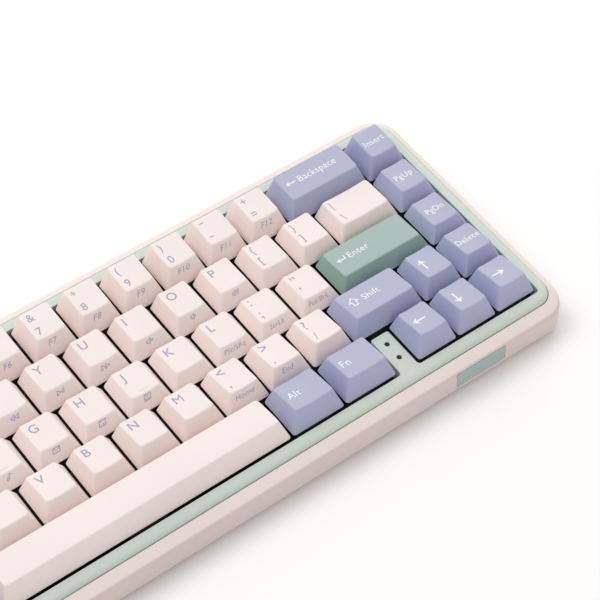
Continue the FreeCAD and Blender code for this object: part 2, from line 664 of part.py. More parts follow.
def circuit_board():
    blank = new_body("board_blank")
    level = "sizes.plate_top - sizes.board_drop"
    pad(blank, rectangle(blank, "board_outline", *margin_box("board_margin"), level,
                         corner=cell("board_corner")), cell("board_thickness"), down=True)
    root = f"{FIELD_Y} / 2 - sizes.tongue_root"
    tongue_deep = f"(sizes.port_reach - sizes.port_length - ({root}))"
    tongue = rectangle(blank, "board_tongue", "sizes.tongue_width - sizes.tongue_play",
                       tongue_deep, level,
                       middle=(cell("port_x"), f"{root} + {tongue_deep} / 2"))
    pad(blank, tongue, cell("board_thickness"), down=True)
    tools = [round_cutter("post_holes", switch_middles, size("post_hole"), -CUT_DEPTH, CUT_DEPTH)]
    return perforated("circuit_board", blank, tools)


def damping_layers():
    """Foam under the plate, gasket strips above and below it and a pad on the floor."""
    foam = new_body("foam_blank")
    foam_top = "sizes.plate_top - sizes.plate_thickness - sizes.layer_gap"
    pad(foam, rectangle(foam, "foam_outline", *margin_box("board_margin"), foam_top,
                        corner=cell("board_corner")), cell("foam_thickness"), down=True)
    hole = size("foam_hole")
    guide_x = size("stabiliser_cutout_x") + 2 * size("layer_gap")
    guide_y = size("stabiliser_cutout_y") + 2 * size("layer_gap")
    tools = [cutter("foam_windows", switch_middles, hole, hole, -CUT_DEPTH, CUT_DEPTH),
             cutter("foam_guides", guide_middles, guide_x, guide_y, -CUT_DEPTH, CUT_DEPTH)]
    layer = perforated("plate_foam", foam, tools)
    strips = []
    top_gap = size("frame_bottom") - size("plate_top")
    below = size("plate_top") - size("plate_thickness")
    bottom_gap = below - size("ledge_level")
    length, width = size("gasket_length"), size("gasket_width")
    for y in (-size("screw_row"), size("screw_row")):
        for x in (-size("gasket_place"), size("gasket_place")):
            spot = Vector(x - length / 2, y - width / 2, 0)
            strips.append(Part.makeBox(length, width, top_gap,
                                       spot + Vector(0, 0, size("plate_top"))))
            strips.append(Part.makeBox(length, width, bottom_gap,
                                       spot + Vector(0, 0, size("ledge_level"))))
    pad_corner = Vector(-size("pad_width") / 2, size("pad_middle") - size("pad_depth") / 2,
                        size("foot_height") + size("floor_thickness"))
    floor_pad = Part.makeBox(size("pad_width"), size("pad_depth"), size("pad_thickness"),
                             pad_corner)
    floor_pad.Placement = key_plane.inverse().multiply(floor_pad.Placement)
    node = doc.addObject("Part::Feature", "damping_layers")
    foam_shape = layer.Shape.copy()
    foam_shape.Placement = Placement()
    node.Shape = Part.makeCompound(foam_shape.Solids + strips + [floor_pad])
    node.Placement = key_plane
    return node


# Soldered contacts of one switch from its middle, and their size.
CONTACTS = ((-3.81, 2.54), (2.54, 5.08))
SOLDER_BASE, SOLDER_TIP, SOLDER_HEIGHT = 0.9, 0.35, 1.1

# Chips under the board: width, depth and height, then the near left corner.
CHIPS = {
    "controller": ((9, 9, 1), (30, 24)),
    "crystal": ((3.2, 2.5, 0.8), (42, 26)),
}
RESISTOR = (1.6, 0.8, 0.6)
RESISTOR_PITCH = 2.6
CHIPS.update({f"resistor_{place}": (RESISTOR, (5 + RESISTOR_PITCH * place, 29))
              for place in range(8)})


def board_components():
    """Soldered switch contacts, the controller and small parts under the board."""
    under = size("plate_top") - size("board_drop") - size("board_thickness")
    pieces = []
    for middle in switch_middles:
        for x, y in CONTACTS:
            foot = middle + Vector(x, y, under)
            pieces.append(Part.makeCone(SOLDER_BASE, SOLDER_TIP, SOLDER_HEIGHT, foot,
                                        Vector(0, 0, -1)))
    for (wide, deep, high), (x, y) in CHIPS.values():
        pieces.append(Part.makeBox(wide, deep, high, Vector(x, y, under - high)))
    node = doc.addObject("Part::Feature", "board_components")
    node.Shape = Part.makeCompound(pieces)
    node.Placement = key_plane
    return node


# ---------------------------------------------------------------- fittings

def usb_port():
    """Oval socket with a tongue inside, under the board's rear edge."""
    body = new_body("usb_port")
    below = "sizes.plate_top - sizes.board_drop - sizes.board_thickness - sizes.port_height / 2"
    middle = (cell("port_x"), below)
    shell = rectangle(body, "port_shell", cell("port_width"), cell("port_height"),
                      "-sizes.port_reach",
                      corner="sizes.port_height / 2 - sizes.port_corner_play",
                      middle=middle, role="XZ_Plane")
    pad(body, shell, cell("port_length"))
    mouth = rectangle(body, "port_mouth", "sizes.port_width - 2 * sizes.port_shell",
                      "sizes.port_height - 2 * sizes.port_shell", "-sizes.port_reach",
                      corner="sizes.port_height / 2 - sizes.port_shell - sizes.port_corner_play",
                      middle=middle, role="XZ_Plane")
    pocket(body, mouth, "sizes.port_length - sizes.port_back")
    tongue = rectangle(body, "port_tongue", "sizes.port_width - 2 * sizes.contact_margin",
                       cell("contact_thickness"), "sizes.contact_sink - sizes.port_reach",
                       middle=middle, role="XZ_Plane")
    pad(body, tongue, "sizes.port_length - sizes.contact_sink - sizes.contact_end")
    body.Placement = key_plane
    return body


def indicator_lenses():
    """Two clear pins in the island's holes, a little below its face."""
    lamp_x = (size("lamp_column") - size("columns") / 2) * size("unit_pitch")
    front = -size("row_count") * size("unit_pitch") / 2
    radius = size("lamp_bore") / 2 - size("lamp_play")
    low = size("frame_bottom") + size("lens_bottom")
    length = size("frame_top") - size("lens_sink") - low
    node = doc.addObject("Part::Feature", "indicator_lenses")
    node.Shape = Part.makeCompound([
        Part.makeCylinder(radius, length, Vector(lamp_x, front + size(place), low))
        for place in ("lamp_near", "lamp_far")])
    node.Placement = key_plane
    return node


def front_badge():
    body = new_body("front_badge")
    plate = rectangle(body, "badge_outline", "sizes.badge_width - 2 * sizes.badge_play",
                      "sizes.badge_height - 2 * sizes.badge_play",
                      "sizes.case_depth / 2 - sizes.badge_thickness",
                      corner=cell("badge_corner"), middle=(cell("badge_x"), cell("badge_level")),
                      role="XZ_Plane")
    pad(body, plate, "sizes.badge_thickness - sizes.badge_play")
    return body


def rubber_feet():
    """Four pads glued into seats in the floor, at the corners."""
    pieces = []
    play = size("foot_play")
    long_side = size("foot_long") - 2 * play
    short_side = size("foot_short") - 2 * play
    for x in (-size("foot_x"), size("foot_x")):
        for y in (-size("foot_y"), size("foot_y")):
            foot = Part.makeBox(long_side, short_side, size("foot_height") + size("foot_inset"),
                                Vector(x - long_side / 2, y - short_side / 2, 0))
            sides = [edge for edge in foot.Edges if upright(edge)]
            foot = foot.makeFillet(size("foot_corner") - play, sides)
            under = [edge for edge in foot.Edges if edge.BoundBox.ZMax < TOUCH]
            pieces.append(foot.makeFillet(size("foot_edge"), under))
    node = doc.addObject("Part::Feature", "rubber_feet")
    node.Shape = Part.makeCompound(pieces)
    return node


def tilt_foot(name, side):
    """Flip-out foot that lies in its bay and turns on two stub pins at its front end."""
    body = new_body(name)
    thick = "sizes.tilt_thickness"
    axis_level = f"sizes.foot_height + sizes.tilt_lift + {thick} / 2"
    leaf = rectangle(body, name + "_leaf", cell("tilt_width"), cell("tilt_length"),
                     "sizes.foot_height + sizes.tilt_lift",
                     middle=(f"{side} * sizes.tilt_x",
                             "sizes.tilt_hinge_y + sizes.tilt_length / 2"))
    pad(body, leaf, thick)
    knuckle = circle(body, name + "_knuckle", thick,
                     f"{side} * sizes.tilt_x - sizes.tilt_width / 2",
                     middle=(cell("tilt_hinge_y"), axis_level), role="YZ_Plane")
    pad(body, knuckle, cell("tilt_width"))
    pin = circle(body, name + "_pin", cell("tilt_pin"),
                 f"{side} * sizes.tilt_x - sizes.tilt_width / 2 - sizes.pin_reach",
                 middle=(cell("tilt_hinge_y"), axis_level), role="YZ_Plane")
    pad(body, pin, "sizes.tilt_width + 2 * sizes.pin_reach")
    grip = rectangle(body, name + "_grip", cell("grip_width"), cell("grip_length"),
                     "sizes.foot_height + sizes.tilt_lift",
                     middle=(f"{side} * sizes.tilt_x",
                             "sizes.tilt_hinge_y + sizes.tilt_length - sizes.grip_place"))
    pocket(body, grip, cell("grip_depth"), up=True)
    return body


def case_screws():
    """Machine screws with sunk round heads that pull the frame down onto the case."""
    pieces = []
    shank_length = size("frame_bottom") - size("screw_seat") - size("thread_clearance")
    for x, y in screw_middles():
        seat = Vector(x, y, size("screw_seat"))
        head_foot = seat - Vector(0, 0, size("head_height"))
        shank = Part.makeCylinder(size("screw_size") / 2, shank_length, seat)
        head = Part.makeCylinder(size("head_size") / 2, size("head_height"), head_foot)
        socket = Part.makeCylinder(size("socket_radius"), size("socket_depth"), head_foot)
        pieces.append(shank.fuse(head).cut(socket).removeSplitter())
    node = doc.addObject("Part::Feature", "case_screws")
    node.Shape = Part.makeCompound(pieces)
    node.Placement = key_plane
    return node


# ---------------------------------------------------------------- building it all

lower_template = lower_housing_body()
upper_template = upper_housing_body()
stem_template = sliding_stem_body("stem_template", cell("column_x"), cell("column_y"))
slider_template = sliding_stem_body("slider_template", cell("slider_x"), cell("slider_y"))
carrier_template = carrier_body()
short_wire = wire_body("short_wire_template", "short_span")
long_wire = wire_body("long_wire_template", "long_span")
cap_templates = {kind: keycap_body(*kind)
                 for kind in sorted({(row, width) for row, width, _ in KEYS.values()})}
doc.recompute()


def key_solids(name, from_key=Vector()):
    """Cap, stem and side sliders of one key, about that key's own middle."""
    row, width, _ = KEYS[name]
    move = Placement(from_key, NO_TURN)
    down = Placement(from_key + plate_level, NO_TURN)
    solids = [(cap_templates[(row, width)], move), (stem_template, down)]
    span = stabiliser_span(width)
    for shift in (-span, span) if span else ():
        beside = Placement(down.Base + Vector(shift, 0, 0), NO_TURN)
        solids.append((slider_template, beside))
    shapes = []
    for template, spot in solids:
        shape = template.Shape.copy()
        shape.Placement = spot.multiply(shape.Placement)
        shapes.append(shape)
    return shapes


nodes = [outer_case(), inner_frame(), switch_plate(), circuit_board(), usb_port(),
         front_badge(), tilt_foot("tilt_foot_left", -1), tilt_foot("tilt_foot_right", 1)]
doc.recompute()
nodes += [damping_layers(), board_components(), indicator_lenses(), rubber_feet(),
          case_screws(),
          copies("lower_housings", lower_template, switch_spots),
          copies("upper_housings", upper_template, switch_spots)]

stabiliser_pieces = []
for kind, wire in (("short", short_wire), ("long", long_wire)):
    half_span = size(f"{kind}_span")
    for spot in guide_spots[kind]:
        for direction in (-1, 1):
            guide = carrier_template.Shape.copy()
            guide.Placement = Placement(spot + Vector(direction * half_span, 0, 0), NO_TURN)
            stabiliser_pieces.append(guide)
        wire_shape = wire.Shape.copy()
        wire_shape.Placement = Placement(spot, NO_TURN)
        stabiliser_pieces.append(wire_shape)
stabilisers = doc.addObject("Part::Feature", "stabilisers")
stabilisers.Shape = Part.makeCompound(stabiliser_pieces)
stabilisers.Placement = key_plane
nodes.append(stabilisers)

grouped = [name for names in GROUPS.values() for name in names]
for name, (_, _, middle) in KEYS.items():
    if name not in grouped:
        key = doc.addObject("Part::Feature", "key_" + name)
        key.Shape = Part.makeCompound(key_solids(name))
        key.Placement = key_plane.multiply(Placement(middle, NO_TURN))
        nodes.append(key)
for group_name, names in GROUPS.items():
    group = doc.addObject("Part::Feature", group_name)
    group.Shape = Part.makeCompound([shape for name in names
                                     for shape in key_solids(name, KEYS[name][2])])
    group.Placement = key_plane
    nodes.append(group)

doc.recompute()
failed = [thing.Name for thing in doc.Objects
          if "Invalid" in thing.State or "Error" in thing.State]
if failed:
    raise RuntimeError("failed objects: " + ", ".join(failed))
for node in nodes:
    node.Label = node.Name
    if node.Shape.isNull() or not node.Shape.isValid():
        raise RuntimeError(node.Label + " has no valid shape")
for node in nodes:
    node.Shape.exportStep(f"parts/{node.Label}.step")
print(len(nodes), "sub-parts written")
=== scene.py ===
import bmesh
import bpy
import json
import math
from bpy.props import FloatProperty, FloatVectorProperty, PointerProperty
from mathutils import Matrix, Vector
from mathutils.geometry import tessellate_polygon


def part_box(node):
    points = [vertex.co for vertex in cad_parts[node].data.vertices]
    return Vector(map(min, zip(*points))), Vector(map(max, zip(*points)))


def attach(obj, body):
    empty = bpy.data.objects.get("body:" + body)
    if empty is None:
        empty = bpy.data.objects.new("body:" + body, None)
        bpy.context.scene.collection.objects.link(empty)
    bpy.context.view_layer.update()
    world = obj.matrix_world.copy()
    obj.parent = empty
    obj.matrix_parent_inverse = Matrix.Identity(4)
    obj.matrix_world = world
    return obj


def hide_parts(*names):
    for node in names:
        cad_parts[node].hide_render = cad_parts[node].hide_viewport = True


bl_info = {
    "name": "Compact Mechanical Keyboard",
    "version": (1, 0, 0),
    "blender": (4, 5, 0),
    "location": "View3D > Sidebar > Keyboard",
    "description": "Builds sculpted keycaps, legends, case and stage round a packed frame",
    "category": "Object",
}

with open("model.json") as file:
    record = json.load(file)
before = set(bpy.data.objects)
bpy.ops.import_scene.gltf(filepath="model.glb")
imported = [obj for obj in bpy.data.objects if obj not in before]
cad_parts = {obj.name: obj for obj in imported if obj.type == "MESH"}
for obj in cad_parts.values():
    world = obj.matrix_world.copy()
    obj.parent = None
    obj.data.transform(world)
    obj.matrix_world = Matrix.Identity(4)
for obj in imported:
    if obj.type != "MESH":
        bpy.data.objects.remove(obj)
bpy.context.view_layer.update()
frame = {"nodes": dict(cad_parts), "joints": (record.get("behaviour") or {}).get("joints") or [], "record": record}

# ------------------------------------------------------------------ the key plane
# Millimetres, +Z is up. The key plane is drawn flat, with z = 0 at the keycaps' lower rim,
# and is then turned by the typing angle, which the keys' own slides give.

MM = 0.001
PITCH = 19.05
COLUMNS = 16
ROW_COUNT = 5
FIELD_X = COLUMNS * PITCH / 2
FIELD_Y = ROW_COUNT * PITCH / 2
PLANE_LEVEL = 22.5
PLATE_LEVEL = -6.9
LEDGE_LEVEL = -9.2
SLIDE_AXIS = next(joint for joint in frame["joints"] if joint["type"] == "slide")["axis"]
TYPING_ANGLE = math.atan2(-SLIDE_AXIS[1], SLIDE_AXIS[2])
TO_METRES = Matrix.Scale(MM, 4)
KEY_PLANE = (TO_METRES @ Matrix.Translation((0, 0, PLANE_LEVEL))
             @ Matrix.Rotation(TYPING_ANGLE, 4, "X"))
MAIN_BODY = next(name for name, nodes in frame["record"]["behaviour"]["bodies"].items()
                 if "outer_case" in nodes)

# Crown of each row: front edge, back edge, height at the front edge, at the back edge.
CROWNS = {
    "number": (-4.75, 7.80, 8.97, 9.25),
    "upper": (-4.64, 8.50, 7.04, 6.17),
    "home": (-4.73, 8.56, 6.16, 4.75),
    "lower": (-4.73, 8.49, 8.18, 5.46),
    "bottom": (-4.88, 8.09, 8.82, 6.20),
}
ROWS = list(CROWNS)


def letters(names, signs=""):
    """Letter keys in a row; signs are the drawn signs on their front walls."""
    signs = ["icon:" + sign for sign in signs.split()] or [""] * len(names)
    return [(name, 1, "pink", name.upper(), sign) for name, sign in zip(names, signs)]


# Every key from the left: name, width in key units, colour, top legends, front legend.
# Top legends of two characters stand above each other; a word starting with "icon:" is drawn.
KEY_ROWS = {
    "number": [
        ("escape", 1, "green", "Esc", ""),
        *((digit, 1, "pink", mark + digit, f"F{count}")
          for count, (mark, digit) in enumerate(zip("!@#$%^&*()", "1234567890"), 1)),
        ("minus", 1, "pink", "_-", "F11"), ("equals", 1, "pink", "+=", "F12"),
        ("backspace", 2, "blue", "icon:left Backspace", ""), ("insert", 1, "blue", "Insert", "")],
    "upper": [
        ("tab", 1.5, "blue", "Tab", ""), *letters("qwer"),
        *letters("tyuiop", "rewind play forward mute quiet loud"),
        ("left_bracket", 1, "pink", "{[", ""), ("right_bracket", 1, "pink", "}]", ""),
        ("backslash", 1.5, "pink", "|\\", ""), ("page_up", 1, "blue", "PgUp", "")],
    "home": [
        ("caps_lock", 1.75, "blue", "Caps", ""), *letters("asd"),
        *letters("fghj", "note letter sums screen"), *letters("k"),
        ("l", 1, "pink", "L", "PSc/SRq"), ("semicolon", 1, "pink", ":;", "ScrLk"),
        ("quote", 1, "pink", "\u201d\u2019", "Pus/Brk"),
        ("enter", 2.25, "green", "icon:return Enter", ""), ("page_down", 1, "blue", "PgDn", "")],
    "lower": [
        ("left_shift", 2.25, "blue", "icon:shift Shift", ""), *letters("zxcvbnm"),
        ("comma", 1, "pink", "<,", "Home"), ("full_stop", 1, "pink", ">.", "End"),
        ("slash", 1, "pink", "?/", ""), ("right_shift", 1.75, "blue", "icon:shift Shift", ""),
        ("arrow_up", 1, "blue", "icon:arrow_up", ""), ("delete", 1, "blue", "Delete", "")],
    "bottom": [
        ("left_control", 1.25, "blue", "Ctrl", ""), ("system", 1.25, "blue", "icon:diamond", ""),
        ("left_alt", 1.25, "blue", "Alt", ""), ("space", 6.25, "pink", "", ""),
        ("right_alt", 1.25, "blue", "Alt", ""), ("function", 1.25, "blue", "Fn", ""),
        (None, 0.5, "", "", ""),
        *(("arrow_" + way, 1, "blue", "icon:arrow_" + way, "")
          for way in ("left", "down", "right"))],
}
GROUPS = {
    "left_number_keys": "escape 1 2 3 4 5 6".split(),
    "left_letter_keys": "q w e r t a s d f z x c v".split(),
    "left_modifier_keys": "tab caps_lock left_shift left_control system left_alt".split(),
}
BUMPED = ("f", "j")
CENTRED = ("insert", "page_up", "page_down", "delete")


def node_of(key):
    """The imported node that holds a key: its own or a shared one."""
    return next((group for group, keys in GROUPS.items() if key in keys), "key_" + key)


# ------------------------------------------------------------------ settings

def length(label, about, value):
    return FloatProperty(name=label, description=about, default=value, min=0.0,
                         unit="LENGTH", precision=5)


def colour(label, about, value):
    return FloatVectorProperty(name=label, description=about, default=value, min=0.0, max=1.0,
                               size=3, subtype="COLOR")


class KeycapSettings(bpy.types.PropertyGroup):
    """Sizes of the sculpted caps and of what is printed on them."""
    gap: length("Gap", "Clear space between neighbouring caps", 0.95 * MM)
    crown_inset: length("Crown inset", "Crown edge from the edge of the key's square", 3.62 * MM)
    crown_grow: length("Crown reach", "How far sharp crown edges pass their round ones", 0.3 * MM)
    skirt_corner: length("Skirt corner", "Corner radius at the lower rim", 1.2 * MM)
    crown_corner: length("Crown corner", "Corner radius of the crown seen from above", 1.25 * MM)
    edge: length("Crown edge", "Reach of the round edge between wall and crown", 0.48 * MM)
    dish: length("Dish", "Depth of the hollow in a short cap", 0.55 * MM)
    wall: length("Wall", "Thickness of the cap's walls", 1.3 * MM)
    roof: length("Roof", "Thickness of the cap's roof", 1.15 * MM)
    letter: length("Letter size", "Size of a letter on the crown", 5.3 * MM)
    word: length("Word size", "Size of a word on a blue or green cap", 4.1 * MM)
    small: length("Front size", "Size of the slanted print on the front wall", 3.7 * MM)
    ink_lift: length("Ink lift", "How far the print stands out of the cap", 0.04 * MM)


class CaseSettings(bpy.types.PropertyGroup):
    """Sizes of the case and of the frame round the keys."""
    corner: length("Corner", "Corner radius of the case seen from above", 11.3 * MM)
    rim_level: length("Rim drop", "Rim below the keycaps' lower rim", 1.6 * MM)
    groove: length("Groove margin", "Groove from the edge of the key field", 5.5 * MM)
    rim_slope: length("Rim slope", "How far the rim falls towards the outside", 2.3 * MM)
    rim_round: length("Rim round", "Height of the rim's outer round", 1.8 * MM)
    bottom_round: length("Bottom edge", "Radius of the lower edge", 2.5 * MM)
    frame_margin: length("Frame margin", "Outside of the inner frame from the field", 5.3 * MM)
    frame_top: length("Frame top", "Flat of the inner frame above the caps' rim", 0.28 * MM)
    shoulder_in: length("Shoulder width", "How far the frame's outer slope reaches in", 2.5 * MM)
    shoulder_down: length("Shoulder drop", "How far the frame's outer slope drops", 2.3 * MM)
    opening: length("Opening margin", "Inside of the frame from the field", 0.68 * MM)


class FinishSettings(bpy.types.PropertyGroup):
    """Colours of the plastics and the print; the wall and slope colours are painted shade."""
    # Every colour for walls or a slope is painted shade: upright faces get it in place of the plain colour.
    pink: colour("Pink caps", "Letter keys", (0.87, 0.78, 0.76))
    pink_wall: colour("Pink walls", "Walls of the letter keys", (0.90, 0.775, 0.735))
    blue: colour("Blue caps", "Modifier keys", (0.435, 0.455, 0.60))
    blue_wall: colour("Blue walls", "Walls of the modifier keys", (0.40, 0.43, 0.61))
    green: colour("Green caps", "Accent keys", (0.36, 0.465, 0.445))
    green_wall: colour("Green walls", "Walls of the accent keys", (0.25, 0.375, 0.328))
    case: colour("Case", "Outer case", (0.85, 0.755, 0.705))
    case_wall: colour("Case wall", "Upright walls of the case", (0.70, 0.575, 0.55))
    frame: colour("Frame", "Inner frame", (0.60, 0.675, 0.61))
    frame_wall: colour("Frame slope", "Outer slope of the inner frame", (0.56, 0.665, 0.58))
    ink: colour("Ink", "Print on pink caps", (0.36, 0.37, 0.54))
    light_ink: colour("Light ink", "Print on blue and green caps", (0.88, 0.87, 0.87))


class StageSettings(bpy.types.PropertyGroup):
    """Camera and light."""
    azimuth: FloatProperty(name="Azimuth", description="Camera direction round the object",
                           default=math.radians(-36.9), subtype="ANGLE")
    elevation: FloatProperty(name="Elevation", description="Camera height above the desk",
                             default=math.radians(47.49), subtype="ANGLE")
    roll: FloatProperty(name="Roll", description="Turn of the picture",
                        default=math.radians(-0.92), subtype="ANGLE")
    distance: length("Distance", "Camera from the point it looks at", 737.16 * MM)
    lens: FloatProperty(name="Lens", description="Focal length", default=119.84, min=1.0,
                        subtype="DISTANCE_CAMERA")
    key_power: FloatProperty(name="Key light", description="Power of the main light",
                             default=4.7, min=0.0, unit="POWER")
    fill_power: FloatProperty(name="Fill light", description="Power of the second light",
                              default=2.0, min=0.0, unit="POWER")
    front_power: FloatProperty(name="Front light", description="Power of the weak front light",
                               default=0.9, min=0.0, unit="POWER")
    sky: FloatProperty(name="Sky", description="Strength of the even light", default=0.66,
                       min=0.0)


# ------------------------------------------------------------------ mesh helpers

SHARP_ANGLE = math.radians(35)
BEVEL_ANGLE = math.radians(50)
LARGE_RING = {"arc_steps": 14, "side_steps": 12}


def round_ring(x_low, x_high, y_low, y_high, radius, arc_steps=7, side_steps=5):
    """Points of a rectangle with round corners, counter-clockwise from the front left."""
    radius = max(min(radius, (x_high - x_low) / 2 - 0.01, (y_high - y_low) / 2 - 0.01), 0.01)
    centres = [(x_high - radius, y_low + radius, -90), (x_high - radius, y_high - radius, 0),
               (x_low + radius, y_high - radius, 90), (x_low + radius, y_low + radius, 180)]
    points = []
    for centre_x, centre_y, start in centres:
        arc = []
        for step in range(arc_steps + 1):
            turn = math.radians(start + 90 * step / arc_steps)
            arc.append((centre_x + radius * math.cos(turn), centre_y + radius * math.sin(turn)))
        if points:
            points += between(points[-1], arc[0], side_steps)
        points += arc
    return points + between(points[-1], points[0], side_steps)


def field_ring(margin, radius):
    """Points of a rectangle with round corners at a margin from the key field."""
    return round_ring(-FIELD_X - margin, FIELD_X + margin, -FIELD_Y - margin, FIELD_Y + margin,
                      radius, **LARGE_RING)


def between(start, end, steps):
    """Evenly spaced points strictly inside a straight run."""
    return [tuple(a + (b - a) * step / steps for a, b in zip(start, end))
            for step in range(1, steps)]


def mix(first, second, share):
    """Ring part of the way from one ring to another."""
    return [a.lerp(b, share) for a, b in zip(first, second)]


def add_rings(mesh, rings, material=0, close=True):
    """Skin a stack of equal rings into a mesh; both ends are filled when close is set."""
    loops = [[mesh.verts.new(point) for point in ring] for ring in rings]
    faces = []
    for lower, upper in zip(loops, loops[1:]):
        count = len(lower)
        for index in range(count):
            after = (index + 1) % count
            faces.append(mesh.faces.new((lower[index], lower[after], upper[after], upper[index])))
    if close:
        faces.append(mesh.faces.new(list(reversed(loops[0]))))
        faces.append(mesh.faces.new(loops[-1]))
    for face in faces:
        face.material_index = material
        face.smooth = True
    return loops


def add_block(mesh, low, high, material):
    """Closed block from its lowest to its highest corner."""
    rings = [[Vector((x, y, z)) for x, y in round_ring(low[0], high[0], low[1], high[1], 0.25,
                                                       arc_steps=2, side_steps=1)]
             for z in (low[2], high[2])]
    add_rings(mesh, rings, material)


def add_pin(mesh, centre, radius, low, high, steps=20):
    """Closed upright pin."""
    around = [(centre[0] + radius * math.cos(2 * math.pi * step / steps),
               centre[1] + radius * math.sin(2 * math.pi * step / steps))
              for step in range(steps)]
    add_rings(mesh, [[Vector((x, y, z)) for x, y in around] for z in (low, high)])


def add_object(mesh, name, place):
    """Object of a drawn mesh, with its faces outward, moved to its place."""
    bmesh.ops.recalc_face_normals(mesh, faces=mesh.faces)
    mesh.transform(place)
    data = bpy.data.meshes.new(name)
    mesh.to_mesh(data)
    mesh.free()
    made = bpy.data.objects.new(name, data)
    bpy.context.scene.collection.objects.link(made)
    return made


def finish_mesh(mesh, name, place, body, materials):
    """Turn a mesh drawn in millimetres into a named piece that rides on a body."""
    piece = add_object(mesh, name, place)
    piece.data.set_sharp_from_angle(angle=SHARP_ANGLE)
    for material in materials:
        piece.data.materials.append(material)
    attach(piece, body)
    return piece


def bake_modifiers(piece):
    """Put the outcome of a piece's modifiers into its mesh."""
    bpy.context.view_layer.update()
    graph = bpy.context.evaluated_depsgraph_get()
    data = bpy.data.meshes.new_from_object(piece.evaluated_get(graph),
                                           preserve_all_data_layers=True, depsgraph=graph)
    piece.modifiers.clear()
    old = piece.data
    piece.data = data
    data.name = old.name
    bpy.data.meshes.remove(old)
    return data


def cut_away(piece, solids, bevel):
    """Cut solids out of a piece, soften the new edges and keep its flat faces flat."""
    for solid in solids:
        step = piece.modifiers.new("cut", "BOOLEAN")
        step.operation = "DIFFERENCE"
        step.solver = "EXACT"
        step.object = solid
    step = piece.modifiers.new("soft_edges", "BEVEL")
    step.width = bevel
    step.segments = 2
    step.limit_method = "ANGLE"
    step.angle_limit = BEVEL_ANGLE
    data = bake_modifiers(piece)
    data.shade_smooth()
    data.set_sharp_from_angle(angle=SHARP_ANGLE)
    step = piece.modifiers.new("flat_faces", "WEIGHTED_NORMAL")
    step.keep_sharp = True
    bake_modifiers(piece)
    for solid in solids:
        solid_data = solid.data
        bpy.data.objects.remove(solid)
        bpy.data.meshes.remove(solid_data)


# ------------------------------------------------------------------ materials

ROUGHNESS_SPREAD = 0.08
HIGHLIGHT_POINTINESS = (0.53, 0.62)
# Upright part of the surface normal where the painted edge highlight and the painted shade on walls begin and are
# full.
HIGHLIGHT_LEAN = (0.95, 0.85)
WALL_SHADE_LEAN = (0.93, 0.50)
BUMP_DISTANCE = 0.1 * MM


def moulded_grain():
    """Node group: fine grain, slow blotches, and masks for a painted highlight on edges and painted shade on
    upright walls of plastic.
    """
    name = "moulded_grain"
    if name in bpy.data.node_groups:
        return bpy.data.node_groups[name]
    group = bpy.data.node_groups.new(name, "ShaderNodeTree")
    for label in ("Grain Scale", "Blotch Scale", "Base Roughness"):
        group.interface.new_socket(label, in_out="INPUT", socket_type="NodeSocketFloat")
    # Outputs four and five are masks: a painted highlight on edges and painted shade on upright walls.
    for label in ("Height", "Blotch", "Roughness", "Edge", "Wall"):
        group.interface.new_socket(label, in_out="OUTPUT", socket_type="NodeSocketFloat")
    nodes = group.nodes

    def noise(detail):
        texture = nodes.new("ShaderNodeTexNoise")
        texture.inputs["Detail"].default_value = detail
        return texture

    def span(low, high):
        shades = nodes.new("ShaderNodeMapRange")
        shades.inputs["From Min"].default_value = low
        shades.inputs["From Max"].default_value = high
        return shades

    def sum_of(operation):
        value = nodes.new("ShaderNodeMath")
        value.operation = operation
        return value

    inlet, outlet = nodes.new("NodeGroupInput"), nodes.new("NodeGroupOutput")
    where, shape = nodes.new("ShaderNodeTexCoord"), nodes.new("ShaderNodeNewGeometry")
    facing = nodes.new("ShaderNodeSeparateXYZ")
    grain, blotch = noise(3.0), noise(2.0)
    # Pointiness and lean give the painted highlight on edges; wall gives the painted shade on upright faces.
    edge, lean, wall = span(*HIGHLIGHT_POINTINESS), span(*HIGHLIGHT_LEAN), span(*WALL_SHADE_LEAN)
    wall.interpolation_type = "SMOOTHSTEP"
    centre, spread, highlight_mask = sum_of("SUBTRACT"), sum_of("MULTIPLY_ADD"), sum_of("MULTIPLY")
    centre.inputs[1].default_value = 0.5
    spread.inputs[1].default_value = ROUGHNESS_SPREAD
    for source, output, target, entry in (
            (where, "Object", grain, "Vector"), (where, "Object", blotch, "Vector"),
            (inlet, "Grain Scale", grain, "Scale"), (inlet, "Blotch Scale", blotch, "Scale"),
            (blotch, "Fac", centre, 0), (centre, "Value", spread, 0),
            (inlet, "Base Roughness", spread, 2), (shape, "Pointiness", edge, "Value"),
            (shape, "Normal", facing, "Vector"), (facing, "Z", wall, "Value"),
            (facing, "Z", lean, "Value"), (edge, "Result", highlight_mask, 0),
            (lean, "Result", highlight_mask, 1), (wall, "Result", outlet, "Wall"),
            (grain, "Fac", outlet, "Height"), (blotch, "Fac", outlet, "Blotch"),
            (spread, "Value", outlet, "Roughness"), (highlight_mask, "Value", outlet, "Edge")):
        group.links.new(source.outputs[output], target.inputs[entry])
    return group


